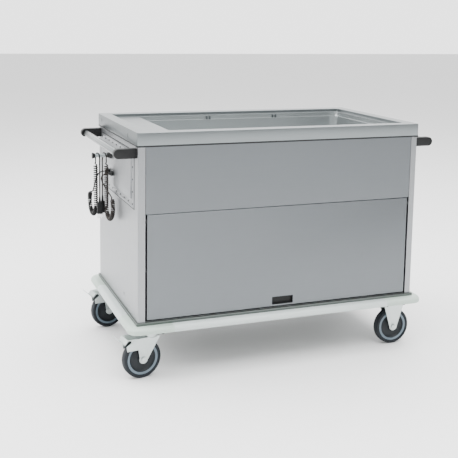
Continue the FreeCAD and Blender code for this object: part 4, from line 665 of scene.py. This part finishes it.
class TROLLEY_OT_wheels(bpy.types.Operator):
    """Model the four wheels with their tyres and light rings"""

    bl_idname = "trolley.wheels"
    bl_label = "Wheels"

    def execute(self, context):
        for corner in ("front_left", "front_right", "rear_left", "rear_right"):
            low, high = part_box(f"tyre_{corner}")
            centre = (low + high) / 2
            turn = Matrix.Rotation(math.radians(-90), 4, "X")
            if corner.endswith("left"):
                turn = Matrix.Rotation(SWIVEL_REST, 4, "Z") @ turn
            tyre = self.wheel_part(f"tyre_{corner}", TYRE_PROFILE, "Tyre rubber", centre, turn)
            show(tyre, f"tyre_{corner}")
            hub = self.wheel_part(f"hub_{corner}", HUB_PROFILE, "Hub plastic", centre, turn)
            self.light_ring(hub, centre, turn @ Vector((0, 0, 1)))
            show(hub, f"wheel_hub_{corner}")
        return {"FINISHED"}

    def wheel_part(self, name, profile, finish_name, centre, turn):
        """Turned ring about a wheel's axle."""
        return turned(f"{name}_turned", [(across * MM, up * MM) for across, up in profile],
                      finish_named(finish_name), centre, turn)

    def light_ring(self, hub, centre, axis):
        """Give the hub's faces between two radii the light ring's material."""
        hub.data.materials.append(finish_named("Wheel ring"))
        slot = len(hub.data.materials) - 1
        for face in hub.data.polygons:
            away = face.center - centre
            radius = (away - axis * away.dot(axis)).length
            if RING_INNER < radius < RING_OUTER:
                face.material_index = slot


# --------------------------------------------------- handles, hook and leads


class TROLLEY_OT_handles(bpy.types.Operator):
    """Dress the push bars and their claw brackets"""

    bl_idname = "trolley.handles"
    bl_label = "Handles"

    def execute(self, context):
        dressed("handle_tubes", finish_named("Tube steel"), 1.6 * MM, 3)
        dressed("handle_brackets", finish_named("Black plastic"), 5.0 * MM, 4)
        return {"FINISHED"}


class TROLLEY_OT_hook(bpy.types.Operator):
    """Dress the cord hook, its cones and the glands"""

    bl_idname = "trolley.hook"
    bl_label = "Cord hook"

    def execute(self, context):
        dressed("cord_hook", finish_named("Hook grey"), 0.6 * MM)
        dressed("hook_stops", finish_named("Black plastic"), 0.8 * MM)
        dressed("cord_glands", finish_named("Black plastic"), 0.6 * MM)
        return {"FINISHED"}


# Places that the leads start from and hang on, in metres.
HOOK_Y = 0.075
HOOK_Z = 0.836
COVER_X = -0.623
GLAND_Z = 0.762
GLAND_OUT = 0.022
HOOK_GAP = 0.0003

# The run from each gland: how far it bows out, and the shape of that bow.
FEED_BOW = 0.033
FEED_STRAIGHT = 0.58
FEED_SAG = 0.55
FEED_BULGE = 0.002

# The coil: plain ends, stretched end curls, turns that ease in, curls closer at one end, and
# guide points a little outside the line that the curve through them takes.
LEAD_IN = 0.008
END_STRETCH = 0.010
EASE_TURNS = 1.5
CLOSENESS = 0.1
GUIDE_OUT = 1.018
POINTS_PER_CURL = 16

# Guide points of the straight strand, as shares of its length down to the plug.
STRAND_SHARES = (0.04, 0.35, 0.7, 1)


class TROLLEY_OT_leads(bpy.types.Operator):
    """Hang the two curly leads with their plugs on the hook"""

    bl_idname = "trolley.leads"
    bl_label = "Leads"

    def execute(self, context):
        sizes = context.scene.trolley_leads
        for name, side, reach, gland_y in (("rear", 1, 0.065, 0.106), ("front", -1, 0.024, 0.041)):
            points = self.route(sizes, side, reach, gland_y)
            sheath = finish_named(f"{name.title()} lead sheath")
            lead = point_line(f"lead_{name}_curly", points, sizes.sheath_radius, sheath)
            show(lead, f"lead_{name}", f"lead_coil_{name}")
            plug = self.plug(sizes, name, points[-1])
            show(plug, f"plug_{name}")
        return {"FINISHED"}

    def coil_centre(self, sizes, distance, side, reach):
        """Point and direction of the coil's middle line at a distance from its top."""
        bar = sizes.hook_radius + sizes.sheath_radius + HOOK_GAP
        y = HOOK_Y + side * bar
        top = HOOK_Z - 0.016
        x = COVER_X - reach
        if distance < sizes.coil_drop:
            return Vector((x, y, top - distance)), Vector((0, 0, -1))
        angle = (distance - sizes.coil_drop) / sizes.loop_radius
        part = angle / sizes.loop_sweep
        lean = -sizes.lean * side * part ** 2 * (3 - 2 * part)
        slope = (-sizes.lean * side * 6 * part * (1 - part)
                 / sizes.loop_sweep / sizes.loop_radius)
        point = Vector((x + lean, y + side * sizes.loop_radius * (1 - math.cos(angle)),
                        top - sizes.coil_drop - sizes.loop_radius * math.sin(angle)))
        along = Vector((slope, side * math.sin(angle), -math.cos(angle)))
        return point, along.normalized()

    def curl_point(self, sizes, turn, side, reach):
        """Point on the lead's middle line after a number of curls."""
        total = sizes.coil_drop + sizes.loop_radius * sizes.loop_sweep
        share = turn / sizes.curls
        eased = share * (1 + CLOSENESS - CLOSENESS * share)
        distance = (LEAD_IN + (total - 2 * LEAD_IN - 2 * END_STRETCH) * eased
                    + END_STRETCH * (min(1.0, turn) + max(0.0, 1 - sizes.curls + turn)))
        centre, along = self.coil_centre(sizes, distance, side, reach)
        sideways = Vector((1, 0, 0))
        sideways = (sideways - along * sideways.dot(along)).normalized()
        other = along.cross(sideways)
        ease = min(1.0, turn / EASE_TURNS, (sizes.curls - turn) / EASE_TURNS)
        spread = sizes.curl_radius * GUIDE_OUT * ease * ease * (3 - 2 * ease)
        angle = 2 * math.pi * turn
        return centre + (sideways * math.cos(angle) + other * math.sin(angle)) * spread

    def route(self, sizes, side, reach, gland_y):
        """Guide points from the gland up through the coil, over the hook, to the plug."""
        total = sizes.coil_drop + sizes.loop_radius * sizes.loop_sweep
        bottom, out = self.coil_centre(sizes, total, side, reach)
        mouth = Vector((COVER_X - GLAND_OUT, gland_y, GLAND_Z))
        corner = bottom + out * ((bottom.y - gland_y) / -out.y)
        straight = mouth + Vector((-FEED_STRAIGHT * FEED_BOW, 0, 0))
        outer = mouth + Vector((-FEED_BOW, 0, -FEED_SAG * FEED_BOW))
        halfway = (outer + corner) / 2 + Vector((-FEED_BULGE, 0, 0))
        points = [mouth, straight, outer, halfway, corner, bottom]
        points += [self.curl_point(sizes, step / POINTS_PER_CURL, side, reach)
                   for step in range(sizes.curls * POINTS_PER_CURL, -1, -1)]
        x = COVER_X - reach
        over = sizes.hook_radius + sizes.sheath_radius + HOOK_GAP
        points.append(Vector((x, HOOK_Y + side * over, HOOK_Z - LEAD_IN)))
        half_step = math.pi / 8
        guide = over / math.cos(half_step)
        for step in range(4):
            turn = (2 * step + 1) * half_step
            share = turn / math.pi
            shift = sizes.strand_shift * side * share * share * (3 - 2 * share)
            points.append(Vector((x + shift, HOOK_Y + side * guide * math.cos(turn),
                                  HOOK_Z + guide * math.sin(turn))))
        fall = Vector((x + side * sizes.strand_shift, HOOK_Y - side * over, HOOK_Z))
        for share in STRAND_SHARES:
            points.append(fall + Vector((0, 0, -share * sizes.plug_drop)))
        return points

    def plug(self, sizes, name, top):
        """Slim plug: a waisted case under a ribbed bend guard, with three round pins."""
        top = Vector(top)
        black = finish_named("Black plastic")
        size = (sizes.plug_width, sizes.plug_thickness, sizes.plug_length)
        rounding, taper_from, narrowing, thinning, curve = 3.0 * MM, 0.35, 0.45, 0.25, 1.2
        case = rounded_block(f"plug_{name}_case", top - Vector((0, 0, size[2] / 2)), size,
                             rounding, black, 4)
        for vertex in case.data.vertices:
            rise = max(0.0, (vertex.co.z - top.z) / size[2] + 1 - taper_from)
            vertex.co.x = top.x + (vertex.co.x - top.x) * (1 - narrowing * rise ** curve)
            vertex.co.y = top.y + (vertex.co.y - top.y) * (1 - thinning * rise)
        guard = turned(f"plug_{name}_guard", self.guard_profile(sizes), black, top, sides=32)
        radius, tip = 2.4 * MM, 0.8 * MM
        profile = [(0, radius - tip / 2), (tip, radius), (sizes.pin_length, radius)]
        low = top - Vector((0, 0, sizes.plug_length + sizes.pin_length))
        pins = [turned(f"plug_{name}_pin_{index + 2}", profile, finish_named("Valve chrome"),
                       low + Vector((index * sizes.plug_width / 3, 0, 0)), sides=20, ring=False)
                for index in (-1, 0, 1)]
        return joined(f"plug_{name}_moulded", case, guard, *pins)

    def guard_profile(self, sizes):
        """Outside of the ribbed guard from the case up, then its bore."""
        low, high = 5.6 * MM, 3.75 * MM
        bore = sizes.sheath_radius + 0.15 * MM
        first, pitch, count, deep = 3.0 * MM, 4.8 * MM, 4, 0.7 * MM
        groove = ((0.0, 0.0), (0.5 * MM, deep), (2.0 * MM, deep), (2.5 * MM, 0.0))
        profile = [(0.0, low)]
        for number in range(count):
            for rise, cut in groove:
                height = first + pitch * number + rise
                outside = low + (high - low) * height / sizes.plug_neck
                profile.append((height, outside - cut))
        return profile + [(sizes.plug_neck, high), (sizes.plug_neck, bore), (0.0, bore)]


# ---------------------------------------------------------------- rear panel


class TROLLEY_OT_controls(bpy.types.Operator):
    """Dress the control panel, dials, rockers, lamps and the drain valve"""

    bl_idname = "trolley.controls"
    bl_label = "Controls"

    def execute(self, context):
        dressed("control_panel", finish_named("Top steel"), 0.4 * MM)
        dressed("pilot_lamps", finish_named("Lamp lens"), 0.6 * MM)
        dressed("drain_valve", finish_named("Valve chrome"), 0.6 * MM)
        dressed("drain_lever", finish_named("Lever grip"), 1.2 * MM, 3)
        for name in ("well", "cupboard"):
            dressed(f"{name}_switch", finish_named("Switch green"), 0.5 * MM)
            dressed(f"{name}_knob", finish_named("Black plastic"), 0.8 * MM)
            self.pointer(name)
            self.dial_marks(name)
        return {"FINISHED"}

    def pointer(self, name):
        """White line on a knob's face, at rest at the top."""
        low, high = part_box(f"{name}_knob")
        centre = (low + high) / 2
        rise, size = 7.5 * MM, (1.6 * MM, 0.6 * MM, 9.0 * MM)
        mark = rounded_block(f"{name}_pointer", (centre.x, high.y, centre.z + rise), size,
                             0.25 * MM, finish_named("Dial marks"), 1)
        show(mark, body=BODY_OF[f"{name}_knob"])

    def dial_marks(self, name):
        """Ticks round a knob over its three quarter turn."""
        low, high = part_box(f"{name}_knob")
        centre = (low + high) / 2
        window_frame_rise = 2.0 * MM
        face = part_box("control_panel")[1].y - window_frame_rise
        radius, tick_size = 24.5 * MM, (0.9 * MM, 0.4 * MM, 3.5 * MM)
        ticks = []
        for step in range(10):
            angle = math.radians(30 * step)
            tick = rounded_block(f"{name}_tick_{step}", (0, 0, 0), tick_size, 0.1 * MM,
                                 finish_named("Black plastic"), 1)
            tick.matrix_world = (
                Matrix.Translation((centre.x + radius * math.sin(angle), face,
                                    centre.z + radius * math.cos(angle)))
                @ Matrix.Rotation(angle, 4, "Y"))
            apply_place(tick)
            ticks.append(tick)
        show(joined(f"{name}_dial_ticks", *ticks), body=BODY_OF["control_panel"])


# ---------------------------------------------------------------------- stage


CAMERA_PLACE = (-1.42, -3.427, 1.4123)
CAMERA_YAW, CAMERA_PITCH, CAMERA_ROLL = 0.3633, -0.1378, 0.016
CAMERA_SHIFT = -0.2
SKY_EDGE = 0.6  # the sky fades from front to back between these sides of straight up


class TROLLEY_OT_stage(bpy.types.Operator):
    """Lay the floor and set the lights and the camera"""

    bl_idname = "trolley.stage"
    bl_label = "Stage"

    def execute(self, context):
        values = context.scene.trolley_stage
        clear_selection()
        bpy.ops.mesh.primitive_plane_add(size=60, location=(0, 0, 0))
        floor = bpy.context.object
        apply_place(floor)
        finish(floor, "studio_floor", plastic("Floor paint", values.floor, 0.7, 60.0, 0.02, 0.01))
        world = bpy.data.worlds.new("Studio")
        world.use_nodes = True
        background = world.node_tree.nodes["Background"]
        background.inputs["Color"].default_value = (1, 1, 1, 1)
        way = add_node(world.node_tree, "ShaderNodeTexCoord").outputs["Generated"]
        split = add_node(world.node_tree, "ShaderNodeSeparateXYZ", {"Vector": way})
        fade = add_node(world.node_tree, "ShaderNodeMapRange",
                        {"Value": split.outputs["Y"], "From Min": -SKY_EDGE, "From Max": SKY_EDGE,
                         "To Min": values.sky_front, "To Max": values.sky_back})
        world.node_tree.links.new(fade.outputs["Result"], background.inputs["Strength"])
        context.scene.world = world
        self.area("Key light", (-3.6, 0.6, 3.2), (0, 0, 0.5), 3.0, values.key)
        self.area("Overhead light", (0, -0.4, 5.0), (0, 0, 0), 7.0, values.overhead)
        self.area("Front light", (0.6, -5.0, 5.2), (0, -0.9, 0), 5.0, values.front)
        self.camera(values.lens)
        return {"FINISHED"}

    def area(self, name, place, aim, size, power):
        """Soft square light that looks at a point."""
        lamp = bpy.data.lights.new(name, "AREA")
        lamp.size = size
        lamp.energy = power
        light = bpy.data.objects.new(name, lamp)
        bpy.context.scene.collection.objects.link(light)
        light.location = place
        light.rotation_euler = (Vector(aim) - Vector(place)).to_track_quat("-Z", "Y").to_euler()

    def camera(self, lens):
        """Camera at the photograph's height and angle."""
        yaw, pitch, roll = CAMERA_YAW, CAMERA_PITCH, CAMERA_ROLL
        ahead = Vector((math.sin(yaw) * math.cos(pitch), math.cos(yaw) * math.cos(pitch),
                        math.sin(pitch)))
        level = Vector((math.cos(yaw), -math.sin(yaw), 0))
        up = level.cross(ahead)
        right = level * math.cos(roll) + up * math.sin(roll)
        above = up * math.cos(roll) - level * math.sin(roll)
        data = bpy.data.cameras.new("Camera")
        data.sensor_width = 36
        data.lens = lens
        data.shift_y = CAMERA_SHIFT
        camera = bpy.data.objects.new("Camera", data)
        bpy.context.scene.collection.objects.link(camera)
        turn = Matrix((right, above, -ahead)).transposed().to_4x4()
        camera.matrix_world = Matrix.Translation(CAMERA_PLACE) @ turn
        bpy.context.scene.camera = camera


# --------------------------------------------------------------------- add-on


STEPS = (TROLLEY_OT_finishes, TROLLEY_OT_cabinet, TROLLEY_OT_chassis, TROLLEY_OT_wheels,
         TROLLEY_OT_handles, TROLLEY_OT_hook, TROLLEY_OT_leads, TROLLEY_OT_controls,
         TROLLEY_OT_stage)


class TROLLEY_PT_panel(bpy.types.Panel):
    """Lists the steps that dress the trolley"""

    bl_idname = "TROLLEY_PT_panel"
    bl_label = "Hot Food Trolley"
    bl_space_type = "VIEW_3D"
    bl_region_type = "UI"
    bl_category = "Trolley"

    def draw(self, context):
        for step in STEPS:
            self.layout.operator(step.bl_idname)
        for group in ("trolley_finishes", "trolley_leads", "trolley_stage"):
            values = getattr(context.scene, group)
            for name in values.__annotations__:
                self.layout.prop(values, name)


GROUPS = {"trolley_finishes": TrolleyFinishes, "trolley_leads": TrolleyLeads,
          "trolley_stage": TrolleyStage}


def register():
    """Register the settings, steps and panel."""
    for made in (*GROUPS.values(), *STEPS, TROLLEY_PT_panel):
        bpy.utils.register_class(made)
    for name, group in GROUPS.items():
        setattr(bpy.types.Scene, name, PointerProperty(type=group))


def unregister():
    """Remove the settings, steps and panel."""
    for name in GROUPS:
        delattr(bpy.types.Scene, name)
    for made in (TROLLEY_PT_panel, *reversed(STEPS), *reversed(list(GROUPS.values()))):
        bpy.utils.unregister_class(made)


def main():
    """Dress the trolley step by step."""
    register()
    bpy.ops.trolley.finishes()
    bpy.ops.trolley.cabinet()
    bpy.ops.trolley.chassis()
    bpy.ops.trolley.wheels()
    bpy.ops.trolley.handles()
    bpy.ops.trolley.hook()
    bpy.ops.trolley.leads()
    bpy.ops.trolley.controls()
    bpy.ops.trolley.stage()


if __name__ == "__main__":
    main()
